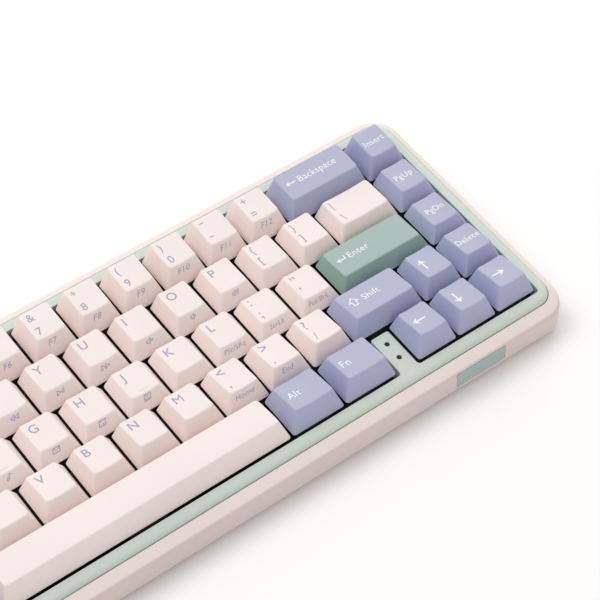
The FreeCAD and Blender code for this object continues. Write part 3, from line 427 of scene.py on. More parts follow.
def plastic(name, base, roughness, grain_scale=2600.0, bump=0.05, shift=0.04, edge_light=0.0,
            blotch_scale=35.0, metallic=0.0, subsurface=0.0, wall=None):
    """Material of moulded or coated stuff: grain, slow colour drift, a painted highlight on edges, painted shade
    on walls.
    """
    if name in bpy.data.materials:
        return bpy.data.materials[name]
    material = bpy.data.materials.new(name)
    material.use_nodes = True
    nodes, links = material.node_tree.nodes, material.node_tree.links
    shader = nodes["Principled BSDF"]
    shader.inputs["Metallic"].default_value = metallic
    shader.inputs["Subsurface Weight"].default_value = subsurface
    shader.inputs["Subsurface Scale"].default_value = 2 * MM
    surface = nodes.new("ShaderNodeGroup")
    surface.node_tree = moulded_grain()
    surface.inputs["Grain Scale"].default_value = grain_scale
    surface.inputs["Blotch Scale"].default_value = blotch_scale
    surface.inputs["Base Roughness"].default_value = roughness

    def blend(factor, first, second, blend_type="MIX"):
        """Mix two colours by one of the surface's masks; first may be a socket."""
        mixer = nodes.new("ShaderNodeMix")
        mixer.data_type = "RGBA"
        mixer.blend_type = blend_type
        source, target, outcome = mixer.inputs[6], mixer.inputs[7], mixer.outputs[2]
        if isinstance(first, list):
            source.default_value = (*first, 1)
        else:
            links.new(first, source)
        target.default_value = (*second, 1)
        links.new(surface.outputs[factor], mixer.inputs["Factor"])
        return outcome

    shade = blend("Blotch", [channel * (1 - shift) for channel in base],
                  [min(channel * (1 + shift), 1) for channel in base])
    # Painted shade: faces turned upright get a darker, shifted copy of the colour.
    if wall:
        shade = blend("Wall", shade, [deep / pale for deep, pale in zip(wall, base)], "MULTIPLY")
    # Painted highlight: convex edges, except on nearly level faces, are lightened towards white.
    if edge_light:
        shade = blend("Edge", shade, [channel + (1 - channel) * edge_light for channel in base])
    bumps = nodes.new("ShaderNodeBump")
    bumps.inputs["Strength"].default_value = bump
    bumps.inputs["Distance"].default_value = BUMP_DISTANCE
    links.new(shade, shader.inputs["Base Color"])
    links.new(surface.outputs["Roughness"], shader.inputs["Roughness"])
    links.new(surface.outputs["Height"], bumps.inputs["Height"])
    links.new(bumps.outputs["Normal"], shader.inputs["Normal"])
    return material


def cap_material(tint):
    finish = bpy.context.scene.keyboard_finish
    # Caps get painted shade on their walls and a painted highlight on their edges.
    return plastic(f"{tint}_cap_plastic", tuple(getattr(finish, tint)), 0.52, bump=0.12,
                   edge_light=0.22, wall=tuple(getattr(finish, tint + "_wall")))


def ink_material(tint):
    finish = bpy.context.scene.keyboard_finish
    name, ink = ("lavender", finish.ink) if tint == "pink" else ("white", finish.light_ink)
    # The print gets a weak painted highlight on its edges.
    return plastic(name + "_print", tuple(ink), 0.55, edge_light=0.05)


def stem_material():
    return plastic("stem_plastic", (0.42, 0.26, 0.20), 0.35, grain_scale=900.0)


# ------------------------------------------------------------------ keycaps

DISHED_UNITS = 1.75
BAR_UNITS = 6
BAR_FALL = 0.45
WALL_STEPS, EDGE_STEPS, CROWN_STEPS = 4, 8, 7
LIP_BEVEL, FOOT_BEVEL = 0.15, 0.12
EDGE_REACH = 1.25
# Materials of a cap, in order.
PLASTIC, PRINT, STEM = 0, 1, 2
SOCKET_RADIUS = 2.75
# Half width and half depth of the switch's own stem and of a long key's side sliders.
STEM_SIZE, SLIDER_SIZE = (3.5, 2.6), (2.4, 3.5)
# Side sliders from a long key's middle: narrowest key that has them, distance.
SLIDER_SPANS = ((BAR_UNITS, 50), (2, 11.938))


class CapShape:
    """Surfaces of one sculpted cap, in millimetres about the key's own middle."""

    def __init__(self, row, units, caps):
        front, back, low, high = CROWNS[row]
        self.units = units
        self.slope = (high - low) / (back - front)
        self.low = low
        self.skirt_x = units * PITCH / 2 - caps.gap / MM / 2
        self.skirt_y = PITCH / 2 - caps.gap / MM / 2
        self.crown_x = units * PITCH / 2 - caps.crown_inset / MM
        self.front_edge = front
        self.front = front - caps.crown_grow / MM
        self.back = back + caps.crown_grow / MM
        self.middle = (front + back) / 2
        self.dish = caps.dish / MM if units < DISHED_UNITS else 0.0
        self.roof = min(low, high) - caps.roof / MM
        self.corners = (caps.skirt_corner / MM, caps.crown_corner / MM)
        self.edge = caps.edge / MM
        self.wall = caps.wall / MM

    def plane(self, y):
        return self.low + self.slope * (y - self.front_edge)

    def top(self, x, y):
        """Height of the crown: hollow on short caps, a little crowned on the long bar."""
        across = min(abs(x) / self.crown_x, 1.0)
        height = self.plane(y) - self.dish * (1 - across ** 2)
        if self.units > BAR_UNITS:
            along = (y - self.middle) / ((self.back - self.front) / 2)
            height -= BAR_FALL * along ** 2
        return height

    def skirt_ring(self, inset, level):
        corner = max(self.corners[0] - inset * 0.6, 0.4)
        return [Vector((x, y, level))
                for x, y in round_ring(-self.skirt_x + inset, self.skirt_x - inset,
                                       -self.skirt_y + inset, self.skirt_y - inset, corner)]

    def crown_ring(self, inset):
        corner = max(self.corners[1] - inset, 0.5)
        return [Vector((x, y, self.top(x, y)))
                for x, y in round_ring(-self.crown_x + inset, self.crown_x - inset,
                                       self.front + inset, self.back - inset, corner)]

    def front_point(self, u, v, lift):
        """Point on the front wall, u across from the middle and v up from the lower rim."""
        share = v / self.front_height()
        foot_x, head_x = self.skirt_x - self.corners[0], self.crown_x - self.corners[1]
        edge_x = u / (foot_x + (head_x - foot_x) * share) * head_x
        rise = Vector((0, self.front + self.skirt_y, self.top(edge_x, self.front)))
        outward = Vector((0, -rise.z, rise.y)).normalized()
        return Vector((u, -self.skirt_y, 0)) + rise * share + outward * lift

    def front_height(self):
        return (Vector((0, self.front, self.top(0, self.front)))
                - Vector((0, -self.skirt_y, 0))).length


def add_cap(mesh, shape):
    """Hollow cap: inside, lower lip, walls, round edge and crown in one closed skin."""
    skirt = shape.skirt_ring(0, 0)
    sharp = shape.crown_ring(0)
    inner_foot = shape.skirt_ring(shape.wall, LIP_BEVEL)
    inner_crown = shape.crown_ring(shape.wall + 0.2)
    share = shape.roof / shape.low
    ceiling = [point.copy() for point in mix(inner_foot, inner_crown, share)]
    for point in ceiling:
        point.z = shape.roof
    bend = 1 - EDGE_REACH * shape.edge / shape.low
    rim = shape.crown_ring(shape.edge)
    wall_top = mix(skirt, sharp, bend)
    rings = [ceiling, inner_foot, shape.skirt_ring(shape.wall - LIP_BEVEL, 0),
             shape.skirt_ring(FOOT_BEVEL, 0), mix(skirt, sharp, 0.02)]
    rings += [mix(skirt, sharp, bend * step / WALL_STEPS) for step in range(1, WALL_STEPS)]
    for step in range(EDGE_STEPS + 1):
        share = step / EDGE_STEPS
        rings.append([a * (1 - share) ** 2 + b * 2 * share * (1 - share) + c * share ** 2
                      for a, b, c in zip(wall_top, sharp, rim)])
    centre = Vector((0, shape.middle, shape.top(0, shape.middle)))
    for step in range(1, CROWN_STEPS):
        ring = [point.lerp(centre, step / CROWN_STEPS) for point in rim]
        for point in ring:
            point.z = shape.top(point.x, point.y)
        rings.append(ring)
    loops = add_rings(mesh, rings, PLASTIC, close=False)
    mesh.faces.new(loops[0])
    hub = mesh.verts.new(centre)
    for here, after in zip(loops[-1], loops[-1][1:] + loops[-1][:1]):
        mesh.faces.new((here, after, hub)).smooth = True


def add_stem(mesh, shape, shift):
    """Socket boss under the roof and the switch's sliding stem in it."""
    add_pin(mesh, (shift, 0), SOCKET_RADIUS, -0.5, shape.roof + 0.2)
    half_x, half_y = SLIDER_SIZE if shift else STEM_SIZE
    add_block(mesh, (shift - half_x, -half_y, PLATE_LEVEL + 0.3),
              (shift + half_x, half_y, PLATE_LEVEL + 6.3), STEM)


def key_spots():
    """Every key: row, name, width, colour, legends and its middle on the key plane."""
    for row, keys in KEY_ROWS.items():
        left = 0
        y = (ROW_COUNT / 2 - ROWS.index(row) - 0.5) * PITCH
        for name, units, tint, top_text, front_text in keys:
            middle = Vector(((left + units / 2 - COLUMNS / 2) * PITCH, y, 0))
            left += units
            if name:
                yield row, name, units, tint, top_text, front_text, middle


# ------------------------------------------------------------------ print

GLYPHS = {}
# Strokes: of a small sign on a front wall, of its details, of an arrow, of a word's sign.
LINE, FINE, ARROW_LINE, SIGN_LINE = 0.30, 0.22, 0.68, 0.46
PLAY_HEIGHT = 1.8
LETTER_SPACING = 1.06
CAP_HEIGHT = 0.72
# Distance of the print from the crown's left, back and front edge.
PRINT_LEFT, PRINT_BACK, PRINT_FRONT = 1.75, 1.55, 1.4
SIGN_GAP = 1.3
# Marks drawn as one level stroke of this length.
STROKES = {"_": 2.0, "-": 1.7}
STROKE_WIDTH = 0.42
LARGE_MARKS = "<>?:;,.\u201d\u2019"
UNWEIGHTED = "MW"
FRONT_SLANT = 0.22
FRONT_RISE = 0.72
FRONT_ASIDE = 0.4


def text_outline(text, text_size, slant=0.0, weight=0.0):
    """Flat filled text as points and faces, in millimetres from its lower left corner."""
    recipe = (text, text_size, slant, weight)
    if recipe in GLYPHS:
        return GLYPHS[recipe]
    curve = bpy.data.curves.new("print", "FONT")
    curve.body = text
    curve.size = text_size
    curve.shear = slant
    curve.space_character = LETTER_SPACING
    curve.offset = weight
    curve.resolution_u = 4
    shown = bpy.data.objects.new("print", curve)
    bpy.context.scene.collection.objects.link(shown)
    bpy.context.view_layer.update()
    flat = shown.evaluated_get(bpy.context.evaluated_depsgraph_get()).to_mesh()
    points = [Vector((v.co.x, v.co.y)) for v in flat.vertices]
    faces = [tuple(p.vertices) for p in flat.polygons]
    bpy.data.objects.remove(shown)
    bpy.data.curves.remove(curve)
    low_x = min(p.x for p in points)
    points = [Vector((p.x - low_x, p.y)) for p in points]
    GLYPHS[recipe] = (points, faces)
    return GLYPHS[recipe]


def polygon(*points):
    """Flat icon part from its corners."""
    return [Vector(point) for point in points], [tuple(range(len(points)))]


def bar(start, end, thick):
    """Flat straight stroke."""
    start, end = Vector(start), Vector(end)
    side = Vector((-(end - start).y, (end - start).x)).normalized() * thick / 2
    return polygon(start - side, end - side, end + side, start + side)


def arc(centre, radius, first, last, thick, steps=8):
    """Flat bent stroke between two angles in degrees."""
    turns = [math.radians(first + (last - first) * step / steps) for step in range(steps + 1)]
    outer = [(centre[0] + (radius + thick / 2) * math.cos(turn),
              centre[1] + (radius + thick / 2) * math.sin(turn)) for turn in turns]
    inner = [(centre[0] + (radius - thick / 2) * math.cos(turn),
              centre[1] + (radius - thick / 2) * math.sin(turn)) for turn in turns]
    points = [Vector(point) for point in outer + inner]
    count = steps + 1
    faces = [(step, step + 1, count + step + 1, count + step) for step in range(steps)]
    return points, faces


def outline(corners, thick):
    """Flat closed line through the corners, mitred at each of them."""
    corners = [Vector(corner) for corner in corners]
    count = len(corners)
    outer, inner = [], []
    for index, corner in enumerate(corners):
        before = (corner - corners[index - 1]).normalized()
        after = (corners[(index + 1) % count] - corner).normalized()
        side = Vector((before.y + after.y, -(before.x + after.x))).normalized()
        reach = thick / 2 / max(side.dot(Vector((before.y, -before.x))), 0.3)
        outer.append(corner + side * reach)
        inner.append(corner - side * reach)
    faces = [(index, (index + 1) % count, count + (index + 1) % count, count + index)
             for index in range(count)]
    return outer + inner, faces


def frame_line(low, high):
    """Flat rectangle line between two corners."""
    return outline([low, (high[0], low[1]), high, (low[0], high[1])], LINE)


def triangle(x, way=1):
    height = PLAY_HEIGHT
    return outline([(x, 0), (x + way * height * 0.85, height / 2), (x, height)][::way], LINE)


def post(x):
    return bar((x, 0), (x, PLAY_HEIGHT), LINE)


SPEAKER = outline([(0, 0.65), (0.6, 0.65), (1.35, 0.05), (1.35, 2.15), (0.6, 1.55), (0, 1.55)],
                  LINE)
ARROW = [bar((-2.8, 0), (1.0, 0), ARROW_LINE),
         polygon((2.8, 0), (0.45, 1.75), (1.0, ARROW_LINE / 2), (1.0, -ARROW_LINE / 2),
                 (0.45, -1.75))]
ARROW_TURNS = {"right": 0, "up": 90, "left": 180, "down": -90}
# Parts of each small drawn sign, in millimetres from its lower left corner.
SIGNS = {
    "left": [bar((1.5, 1.35), (4.6, 1.35), SIGN_LINE),
             polygon((0, 1.35), (1.8, 0.35), (1.55, 1.35), (1.8, 2.35))],
    "return": [bar((1.5, 1.0), (4.2, 1.0), SIGN_LINE), bar((3.97, 1.23), (3.97, 2.7), SIGN_LINE),
               polygon((0, 1.0), (1.85, -0.05), (1.6, 1.0), (1.85, 2.05))],
    "shift": [outline([(1.1, -0.3), (2.8, -0.3), (2.8, 1.6), (3.9, 1.6), (1.95, 3.6), (0, 1.6),
                       (1.1, 1.6)], 0.42)],
    "diamond": [outline([(1.7, 0), (3.4, 1.7), (1.7, 3.4), (0, 1.7)], 0.4)],
    "rewind": [triangle(1.5, -1), triangle(3.2, -1)],
    "forward": [triangle(0), triangle(1.75)],
    "play": [triangle(0), post(2.1), post(2.7)],
    "mute": [SPEAKER, bar((1.75, 0.6), (2.6, 1.6), LINE), bar((2.6, 0.6), (2.3, 0.95), LINE),
             bar((2.05, 1.25), (1.75, 1.6), LINE)],
    "quiet": [SPEAKER, arc((1.3, 1.1), 0.75, -50, 50, LINE)],
    "loud": [SPEAKER, *(arc((1.3, 1.1), radius, -50, 50, LINE) for radius in (0.75, 1.4))],
    "note": [arc((0.6, 0.45), 0.42, 0, 360, LINE, 14), bar((1.15, 0.5), (1.15, 2.3), LINE),
             bar((1.3, 2.2), (2.1, 1.7), LINE)],
    "letter": [frame_line((0, 0), (2.8, 1.9)), bar((0.25, 1.65), (1.35, 0.8), LINE * 0.8),
               bar((2.55, 1.65), (1.5, 0.85), LINE * 0.8)],
    "sums": [frame_line((0, 0), (2.6, 2.2)), bar((0.5, 1.65), (1.1, 1.65), 0.25),
             bar((1.5, 1.65), (2.1, 1.65), 0.25), bar((0.5, 0.65), (1.1, 0.65), 0.25),
             bar((1.5, 0.8), (2.1, 0.8), FINE), bar((1.5, 0.45), (2.1, 0.45), FINE)],
    "screen": [frame_line((0.2, 0.55), (2.8, 2.3)), bar((0.9, 1.75), (2.1, 1.75), FINE),
               bar((0.9, 1.15), (1.7, 1.15), FINE), bar((0, 0.05), (3.0, 0.05), LINE)],
}


def icon(name):
    """Flat parts of a drawn sign; an arrow is turned about its middle."""
    if not name.startswith("arrow_"):
        return SIGNS[name]
    spin = Matrix.Rotation(math.radians(ARROW_TURNS[name[6:]]), 2)
    return [([spin @ point for point in points], faces) for points, faces in ARROW]


def width_of(parts):
    xs = [point.x for points, _ in parts for point in points]
    return min(xs), max(xs)


def add_print(mesh, parts, surface):
    """Thin solid print: every flat part is laid on a surface and given a little depth."""
    for points, faces in parts:
        tops = [mesh.verts.new(surface(point.x, point.y, 1.0)) for point in points]
        feet = [mesh.verts.new(surface(point.x, point.y, -1.5)) for point in points]
        sides = dict.fromkeys(side for face in faces for side in zip(face, face[1:] + face[:1]))
        made = []
        for face in faces:
            made.append(mesh.faces.new([tops[index] for index in face]))
            made.append(mesh.faces.new([feet[index] for index in reversed(face)]))
        made += [mesh.faces.new((tops[start], feet[start], feet[end], tops[end]))
                 for start, end in sides if (end, start) not in sides]
        for face in made:
            face.material_index = PRINT


def top_legends(name, text, tint, shape, caps):
    """Flat parts of a crown's print, placed about the key's middle."""
    letter, word = caps.letter / MM, caps.word / MM
    left = -shape.crown_x + PRINT_LEFT
    back, front = shape.back - PRINT_BACK, shape.front + PRINT_FRONT
    placed = []

    def put(parts, x, y):
        placed.extend(([point + Vector((x, y)) for point in points], faces)
                      for points, faces in parts)

    if text.startswith("icon:arrow"):
        parts = icon(text[5:])
        put(parts, left - 0.1 - width_of(parts)[0], shape.middle - 0.1)
    elif text.startswith("icon:"):
        sign, _, rest = text[5:].partition(" ")
        parts = icon(sign)
        x = left + (0.8 if sign == "shift" else 0.0) if rest else -1.7
        level = shape.middle - CAP_HEIGHT / 2 * word + 0.8
        put(parts, x, level - (0.0 if rest else 1.3))
        if rest:
            put([text_outline(rest, word, 0, 0.01)], x + width_of(parts)[1] + SIGN_GAP, level)
    elif tint != "pink":
        size = word * (1.12 if text == "Fn" else 1.0 if len(text) < 4 else 0.92)
        points, faces = text_outline(text, size, 0, 0.01)
        wide = max(point.x for point in points)
        x = -wide / 2 if name in CENTRED else left
        put([(points, faces)], x, shape.middle - CAP_HEIGHT / 2 * word + 0.3)
    elif len(text) == 1:
        weight = 0.0 if text in UNWEIGHTED else 0.03
        put([text_outline(text, letter, 0, weight)], left + 0.2,
            back - 0.25 - CAP_HEIGHT * letter)
    elif text:
        for mark, place in zip(text, ("back", "front")):
            if mark in STROKES:
                parts = [bar((0, 0), (STROKES[mark], 0), STROKE_WIDTH)]
                put(parts, left, back - 0.9 if place == "back" else front + 2.2)
                continue
            size = letter * (1.16 if mark in LARGE_MARKS else 0.9)
            points, faces = text_outline(mark, size, 0, 0.02)
            low, high = min(p.y for p in points), max(p.y for p in points)
            if place == "back":
                put([(points, faces)], left, back - (high if high - low > 2 else high + 0.3))
            else:
                put([(points, faces)], left + 0.1, front + (0.35 - low if low < 0 else 0.45))
    return placed


def front_legend(text, shape, caps):
    """Flat parts of the slanted print on the front wall."""
    middle = shape.front_height() * FRONT_RISE
    if text.startswith("icon:"):
        parts = icon(text[5:])
        low, high = width_of(parts)
        return [([Vector((point.x - (low + high) / 2 - FRONT_ASIDE + FRONT_SLANT * point.y,
                          point.y + middle - 1.1)) for point in points], faces)
                for points, faces in parts]
    scale = 0.96 if text[1].isdigit() else 0.86 if len(text) < 5 else 0.74
    points, faces = text_outline(text, caps.small / MM * scale, FRONT_SLANT)
    shift = Vector((-max(point.x for point in points) / 2 - FRONT_ASIDE,
                    middle - CAP_HEIGHT / 2 * caps.small / MM))
    return [([point + shift for point in points], faces)]


# ------------------------------------------------------------------ operators

class KEYBOARD_OT_keycaps(bpy.types.Operator):
    """Build every keycap with its stem and its print, on its own key body"""
    bl_idname = "keyboard.keycaps"
    bl_label = "Keycaps"

    def execute(self, context):
        caps = context.scene.keyboard_caps
        bodies = frame["record"]["behaviour"]["bodies"]
        owner = {node: body for body, nodes in bodies.items() for node in nodes}
        lift = caps.ink_lift / MM
        for row, name, units, tint, top_text, front_text, middle in key_spots():
            shape = CapShape(row, units, caps)
            mesh = bmesh.new()
            add_cap(mesh, shape)
            span = next((reach for least, reach in SLIDER_SPANS if units >= least), 0)
            for shift in (0, -span, span) if span else (0,):
                add_stem(mesh, shape, shift)
            legends = top_legends(name, top_text, tint, shape, caps)
            add_print(mesh, legends,
                      lambda x, y, side: Vector((x, y, shape.top(x, y) + side * lift)))
            if front_text:
                add_print(mesh, front_legend(front_text, shape, caps),
                          lambda u, v, side: shape.front_point(u, v, side * lift))
            if name in BUMPED:
                self.add_bump(mesh, shape)
            node = node_of(name)
            piece = finish_mesh(mesh, "keycap_" + name, KEY_PLANE @ Matrix.Translation(middle),
                                owner[node],
                                (cap_material(tint), ink_material(tint), stem_material()))
            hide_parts(node)
        return {"FINISHED"}

    @staticmethod
    def add_bump(mesh, shape):
        """Low bar near the crown's front edge that a finger finds."""
        y = shape.front + 2.0
        level = shape.top(0, y)
        half_x, half_y = 2.1, 0.34
        rings = [[Vector((px, py + y, level + rise))
                  for px, py in round_ring(-half_x + inset, half_x - inset, -half_y + inset,
                                           half_y - inset, 0.3, 4, 2)]
                 for inset, rise in ((0, -0.2), (0, 0.06), (0.12, 0.18), (0.3, 0.22))]
        add_rings(mesh, rings)


class KEYBOARD_OT_outer_case(bpy.types.Operator):
    """Build the case: a tub with a sloping rim, cut for feet, badge, screws and socket"""
    bl_idname = "keyboard.outer_case"
    bl_label = "Outer case"

    bottom_steps, rim_steps = 6, 10
    floor_thickness, floor_inset = 1.4, 6
    # The well from the lip down: past the groove's margin, corner radius, below the rim.
    well = ((0.35, 7.6, 0), (0.14, 7.5, 0.1), (0, 7.4, 0.4), (-0.17, 7.25, 1.3))
    round_share = 0.27
    foot_seat = {"x": 132, "y": 45.5, "half_x": 13, "half_y": 4}
    screw_x, screw_y, screw_bore, screw_head = (-75, 0, 75), (-50.8, 50.8), 2.15, -12.2

    def execute(self, context):
        case = context.scene.keyboard_case
        low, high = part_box("outer_case")
        low, high = low / MM, high / MM
        corner = case.corner / MM
        tilt = math.tan(TYPING_ANGLE)
        cos, sin = math.cos(TYPING_ANGLE), math.sin(TYPING_ANGLE)

        def plane_height(y, level):
            """Desk height of a key plane level above a desk point."""
            return PLANE_LEVEL + y * tilt + level / cos

        def desk(x, y, level):
            return Vector((x, y * cos - level * sin, PLANE_LEVEL + y * sin + level * cos))

        def wall_ring(inset, level=None, plane=None):
            ring = round_ring(low.x + inset, high.x - inset, low.y + inset, high.y - inset,
                              corner - inset, **LARGE_RING)
            return [Vector((x, y, level if plane is None else plane_height(y, plane)))
                    for x, y in ring]

        def well_ring(margin, radius, level):
            return [desk(x, y, level) for x, y in field_ring(margin, radius)]

        rim_level = -case.rim_level / MM
        groove = case.groove / MM
        base = low.z
        foot = case.bottom_round / MM
        rings = [wall_ring(foot + self.floor_inset, base), wall_ring(foot, base)]
        for step in range(1, self.bottom_steps):
            turn = math.radians(90 * step / self.bottom_steps)
            rings.append(wall_ring(foot * (1 - math.sin(turn)), base + foot * (1 - math.cos(turn))))
        rings.append(wall_ring(0, base + foot))
        well = [well_ring(groove + margin, radius, rim_level - drop)
                for margin, radius, drop in self.well]
        lip = well[0]
        sharp = wall_ring(0, plane=rim_level - case.rim_slope / MM)
        spring = [point - Vector((0, 0, case.rim_round / MM)) for point in sharp]
        rings.append(mix(rings[-1], spring, 0.5))
        shoulder = mix(sharp, lip, self.round_share)
        for step in range(self.rim_steps + 1):
            turn = math.radians(90 * step / self.rim_steps)
            rings.append([start + (point - start) * math.sin(turn)
                          + (end - point) * (1 - math.cos(turn))
                          for start, point, end in zip(spring, sharp, shoulder)])
        rings.append(mix(shoulder, lip, 0.5))
        inner = well_ring(2.0, 5.0, LEDGE_LEVEL)
        rings += [*well, well_ring(groove, 7.4, LEDGE_LEVEL), inner,
                  [Vector((point.x, point.y, base + self.floor_thickness)) for point in inner]]
        mesh = bmesh.new()
        add_rings(mesh, rings)
        finish = context.scene.keyboard_finish
        # The case's upright walls get painted shade.
        skin = plastic("case_plastic", tuple(finish.case), 0.42, grain_scale=1900.0, bump=0.05,
                       blotch_scale=18.0, wall=tuple(finish.case_wall))
        piece = finish_mesh(mesh, "case_shell", TO_METRES, MAIN_BODY, (skin,))
        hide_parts("outer_case")
        cut_away(piece, self.cutters(base), 0.12 * MM)
        return {"FINISHED"}

    @staticmethod
    def block(x, y, z, corner=0.4, axis="Z"):
        """Rounded block cutter between the given limits, its corners about one axis."""
        mesh = bmesh.new()
        order = {"Z": (0, 1, 2), "Y": (0, 2, 1)}[axis]
        limits = [(x, y, z)[index] for index in order]
        outline_ring = round_ring(*limits[0], *limits[1], corner, 5, 1)
        rings = []
        for level in limits[2]:
            ring = []
            for a, b in outline_ring:
                point = [0.0, 0.0, 0.0]
                for index, value in zip(order, (a, b, level)):
                    point[index] = value
                ring.append(Vector(point))
            rings.append(ring)
        add_rings(mesh, rings)
        return add_object(mesh, "cutter", TO_METRES)

    def cutters(self, base):
        """Solids of every recess, each a little larger than what lies in it."""
        solids = []
        for node in ("tilt_foot_left", "tilt_foot_right"):
            low, high = (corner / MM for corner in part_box(node))
            solids.append(self.block((low.x + 1.6, high.x - 1.6), (low.y - 2.4, high.y + 1.6),
                                     (base - 2, high.z + 0.6)))
        seat = self.foot_seat
        for x in (-seat["x"], seat["x"]):
            for y in (-seat["y"], seat["y"]):
                solids.append(self.block((x - seat["half_x"], x + seat["half_x"]),
                                         (y - seat["half_y"], y + seat["half_y"]),
                                         (base - 2, base + 0.6), 3))
        low, high = (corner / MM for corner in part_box("front_badge"))
        solids.append(self.block((low.x - 0.12, high.x + 0.12), (low.y - 3, high.y + 0.1),
                                 (low.z - 0.12, high.z + 0.12), 0.6, "Y"))
        low, high = (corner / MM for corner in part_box("usb_port"))
        solids.append(self.block((low.x - 0.35, high.x + 0.35), (low.y + 1, high.y + 8),
                                 (low.z - 0.1, high.z + 0.1), 1.8, "Y"))
        for x in self.screw_x:
            for y in self.screw_y:
                mesh = bmesh.new()
                add_pin(mesh, (x, y), self.screw_bore, -40, self.screw_head, steps=28)
                solids.append(add_object(mesh, "cutter", KEY_PLANE))
        return solids


class KEYBOARD_OT_inner_frame(bpy.types.Operator):
    """Build the frame round the keys: flat inside, sloping outside, with the lamp island"""
    bl_idname = "keyboard.inner_frame"
    bl_label = "Inner frame"

    corner, bottom, edge, inner_corner = 7.2, -6.2, 0.24, 1.4
    # The island: its sides in key columns, its head from the field's front, its margin.
    island_left, island_right, island_head, island_corner = 12.54, 12.965, 17.5, 0.9
    island_margin = 0.68
    lamp_column, lamp_places, lamp_radius = 12.758, (5.8, 12.8), 1.0

    def execute(self, context):
        case = context.scene.keyboard_case
        margin, opening = case.frame_margin / MM, case.opening / MM
        top, bottom = case.frame_top / MM, self.bottom
        wide, drop = case.shoulder_in / MM, case.shoulder_down / MM

        def outside(inset, level):
            return [Vector((x, y, level))
                    for x, y in field_ring(margin - inset, max(self.corner - inset, 1.0))]

        slope = [outside(0, bottom), outside(0, top - drop)]
        for step in range(1, 10):
            turn = math.radians(10 * step)
            slope.append(outside(wide * (1 - math.cos(turn)), top - drop * (1 - math.sin(turn))))
        slope.append(outside(wide + 0.3, top))
        mesh = bmesh.new()
        walls = [add_rings(mesh, slope, close=False)]
        walls.append(self.inward_wall(mesh, lambda out: self.opening_outline(opening + out),
                                      top, bottom))
        lamp_x = (self.lamp_column - COLUMNS / 2) * PITCH
        for place in self.lamp_places:
            centre = Vector((lamp_x, -FIELD_Y + place))
            walls.append(self.inward_wall(
                mesh, lambda out: circle(centre, self.lamp_radius + out), top, bottom))
        for end in (0, -1):
            self.fill(mesh, [loops[end] for loops in walls])
        finish = context.scene.keyboard_finish
        # The frame's outer slope gets painted shade.
        skin = plastic("frame_plastic", tuple(finish.frame), 0.38, grain_scale=1900.0, bump=0.05,
                       blotch_scale=18.0, wall=tuple(finish.frame_wall))
        piece = finish_mesh(mesh, "key_frame", KEY_PLANE, MAIN_BODY, (skin,))
        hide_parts("inner_frame")
        return {"FINISHED"}

    def opening_outline(self, margin):
        """Edge of the key opening, which goes round the island of the lamps."""
        out = margin - self.island_margin
        left = (self.island_left - COLUMNS / 2) * PITCH + out
        right = (self.island_right - COLUMNS / 2) * PITCH - out
        x, y = FIELD_X + margin, FIELD_Y + margin
        head = -FIELD_Y + self.island_head - out
        hollow, solid = self.inner_corner + out, self.island_corner - out
        corners = [(-x, -y, hollow), (left, -y, hollow), (left, head, solid),
                   (right, head, solid), (right, -y, hollow), (x, -y, hollow), (x, y, hollow),
                   (-x, y, hollow)]
        return filleted([(Vector((a, b)), radius) for a, b, radius in corners])

    def inward_wall(self, mesh, points_at, top, bottom):
        """Wall of a hole with a small round edge at its top; out widens the outline."""
        edge = self.edge
        profile = [(0, bottom), (0, top - edge)]
        for degrees in (22.5, 45, 67.5, 90):
            turn = math.radians(degrees)
            profile.append((edge * (1 - math.cos(turn)), top - edge * (1 - math.sin(turn))))
        profile.append((edge + 0.08, top))
        return add_rings(mesh, [[Vector((*point, level)) for point in points_at(out)]
                                for out, level in profile], close=False)

    @staticmethod
    def fill(mesh, loops):
        """Flat face between the outer loop and the holes in it."""
        corners = [corner for loop in loops for corner in loop]
        outlines = [[Vector((*corner.co.xy, 0)) for corner in loop] for loop in loops]
        for facet in tessellate_polygon(outlines):
            mesh.faces.new([corners[index] for index in facet])


def circle(centre, radius, steps=32):
    """Points of a circle, counter-clockwise."""
    return [centre + Vector((math.cos(2 * math.pi * step / steps),
                             math.sin(2 * math.pi * step / steps))) * radius
            for step in range(steps)]


def filleted(corners, steps=6):
    """Closed outline with every corner turned into an arc of its own radius."""
    points = []
    count = len(corners)
    for index, (corner, radius) in enumerate(corners):
        before = (corners[index - 1][0] - corner).normalized()
        after = (corners[(index + 1) % count][0] - corner).normalized()
        start, end = corner + before * radius, corner + after * radius
        centre = start + end - corner
        for step in range(steps + 1):
            turn = math.radians(90 * step / steps)
            points.append(centre + (start - centre) * math.cos(turn)
                          + (end - centre) * math.sin(turn))
    return points


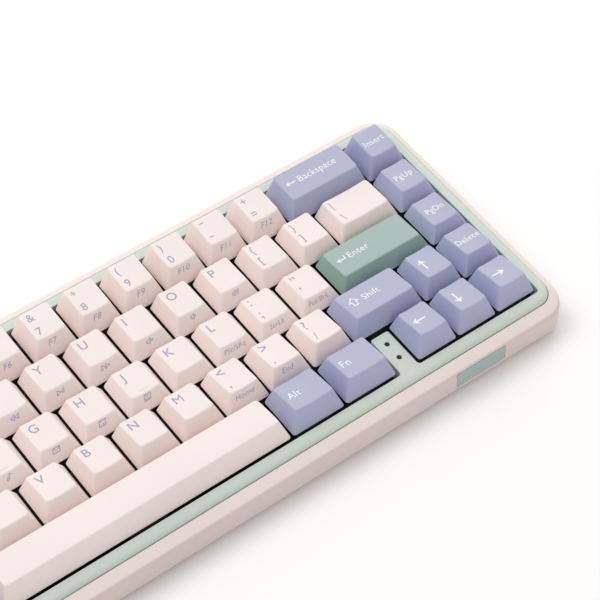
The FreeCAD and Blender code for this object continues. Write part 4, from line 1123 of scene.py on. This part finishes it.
class KEYBOARD_OT_fittings(bpy.types.Operator):
    """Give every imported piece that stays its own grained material"""
    bl_idname = "keyboard.fittings"
    bl_label = "Fittings"

    def execute(self, context):
        finish = context.scene.keyboard_finish
        # The housings are milky plastic made nearly black: painted shade for the gaps between the caps.
        milky_gap_shade = plastic("milky_plastic", (0.085, 0.078, 0.078), 0.25, grain_scale=900.0,
                        bump=0.02, subsurface=0.15)
        foot = plastic("foot_plastic", tuple(finish.case), 0.5, bump=0.1)
        coats = {
            "switch_plate": plastic("plate_coat", (0.006, 0.004, 0.005), 0.8, grain_scale=3200.0,
                                    bump=0.2),
            "upper_housings": milky_gap_shade,
            "lower_housings": milky_gap_shade,
            "stabilisers": plastic("guide_plastic", (0.03, 0.03, 0.032), 0.4),
            "circuit_board": plastic("board_mask", (0.01, 0.014, 0.012), 0.3, grain_scale=1500.0),
            "board_components": plastic("tinned_metal", (0.6, 0.6, 0.6), 0.35, metallic=1.0),
            "damping_layers": plastic("cell_foam", (0.06, 0.06, 0.065), 0.9, grain_scale=1200.0,
                                      bump=0.6),
            "usb_port": plastic("steel_shell", (0.55, 0.55, 0.56), 0.28, metallic=1.0,
                                grain_scale=1200.0),
            "case_screws": plastic("dark_steel", (0.16, 0.16, 0.165), 0.35, metallic=1.0),
            "rubber_feet": plastic("soft_rubber", (0.035, 0.035, 0.036), 0.8, grain_scale=1600.0,
                                   bump=0.3),
            "front_badge": plastic("badge_plastic", (0.355, 0.445, 0.425), 0.34, bump=0.04),
            "indicator_lenses": plastic("smoked_lens", (0.008, 0.010, 0.009), 0.45),
            "tilt_foot_left": foot,
            "tilt_foot_right": foot,
        }
        for node, coat in coats.items():
            materials = frame["nodes"][node].data.materials
            materials.clear()
            materials.append(coat)
        return {"FINISHED"}


class KEYBOARD_OT_stage(bpy.types.Operator):
    """Set the pale floor, the soft lights and the camera"""
    bl_idname = "keyboard.stage"
    bl_label = "Stage"

    # Place and width of each light, in metres.
    lamps = {"key": ((-0.32, 0.42, 1.02), 0.8), "fill": ((0.75, 0.5, 0.55), 0.7),
             "front": ((0.35, -0.85, 0.75), 0.8)}
    floor_reach = 3
    target = (76.8, -0.6, PLANE_LEVEL - 0.1)

    def execute(self, context):
        stage = context.scene.keyboard_stage
        self.floor()
        world = bpy.data.worlds.new("soft_sky")
        world.use_nodes = True
        sky = world.node_tree.nodes["Background"]
        sky.inputs["Color"].default_value = (1.0, 0.985, 0.975, 1)
        sky.inputs["Strength"].default_value = stage.sky
        context.scene.world = world
        context.scene.view_settings.view_transform = "Standard"
        for name, (place, width) in self.lamps.items():
            self.lamp(name + "_light", place, width, getattr(stage, name + "_power"))
        self.camera(context, stage)
        return {"FINISHED"}

    def floor(self):
        mesh = bmesh.new()
        corners = [(-1, -1), (1, -1), (1, 1), (-1, 1)]
        mesh.faces.new([mesh.verts.new((x * self.floor_reach, y * self.floor_reach, 0))
                        for x, y in corners])
        data = bpy.data.meshes.new("floor")
        mesh.to_mesh(data)
        mesh.free()
        ground = bpy.data.objects.new("floor", data)
        bpy.context.scene.collection.objects.link(ground)
        data.materials.append(plastic("floor_paper", (0.965, 0.965, 0.965), 0.9, shift=0.003,
                                      bump=0.0))

    @staticmethod
    def lamp(name, place, width, power):
        light = bpy.data.lights.new(name, "AREA")
        light.shape = "DISK"
        light.size = width
        light.energy = power
        lamp = bpy.data.objects.new(name, light)
        lamp.location = place
        lamp.rotation_euler = (-Vector(place)).to_track_quat("-Z", "Y").to_euler()
        bpy.context.scene.collection.objects.link(lamp)

    def camera(self, context, stage):
        """Camera that looks at a point of the key field from the stage's direction."""
        target = Vector(self.target) * MM
        data = bpy.data.cameras.new("camera")
        data.lens = stage.lens
        data.sensor_width = 36.0
        data.clip_end = 10.0
        eye = bpy.data.objects.new("camera", data)
        turn = (Matrix.Rotation(stage.azimuth, 4, "Z")
                @ Matrix.Rotation(math.pi / 2 - stage.elevation, 4, "X")
                @ Matrix.Rotation(stage.roll, 4, "Z"))
        back = turn.to_3x3() @ Vector((0, 0, 1))
        eye.matrix_world = Matrix.Translation(target + back * stage.distance) @ turn
        context.scene.collection.objects.link(eye)
        context.scene.camera = eye


class KEYBOARD_PT_panel(bpy.types.Panel):
    """Lists the keyboard's operators and settings in the sidebar"""
    bl_idname = "KEYBOARD_PT_panel"
    bl_label = "Keyboard"
    bl_space_type = "VIEW_3D"
    bl_region_type = "UI"
    bl_category = "Keyboard"

    def draw(self, context):
        layout = self.layout
        for operator in OPERATORS:
            layout.operator(operator.bl_idname)
        for settings in SETTINGS:
            box = layout.box()
            group = getattr(context.scene, settings)
            for prop in group.bl_rna.properties:
                if not prop.is_readonly and prop.identifier != "name":
                    box.prop(group, prop.identifier)


OPERATORS = (KEYBOARD_OT_stage, KEYBOARD_OT_fittings, KEYBOARD_OT_outer_case,
             KEYBOARD_OT_inner_frame, KEYBOARD_OT_keycaps)
SETTINGS = {
    "keyboard_caps": KeycapSettings,
    "keyboard_case": CaseSettings,
    "keyboard_finish": FinishSettings,
    "keyboard_stage": StageSettings,
}


def register():
    for settings in SETTINGS.values():
        bpy.utils.register_class(settings)
    for name, settings in SETTINGS.items():
        setattr(bpy.types.Scene, name, PointerProperty(type=settings))
    for operator in OPERATORS:
        bpy.utils.register_class(operator)
    bpy.utils.register_class(KEYBOARD_PT_panel)


def unregister():
    bpy.utils.unregister_class(KEYBOARD_PT_panel)
    for operator in reversed(OPERATORS):
        bpy.utils.unregister_class(operator)
    for name in SETTINGS:
        delattr(bpy.types.Scene, name)
    for settings in reversed(list(SETTINGS.values())):
        bpy.utils.unregister_class(settings)


def main():
    register()
    for operator in OPERATORS:
        group, _, name = operator.bl_idname.partition(".")
        getattr(getattr(bpy.ops, group), name)()


if __name__ == "__main__":
    main()
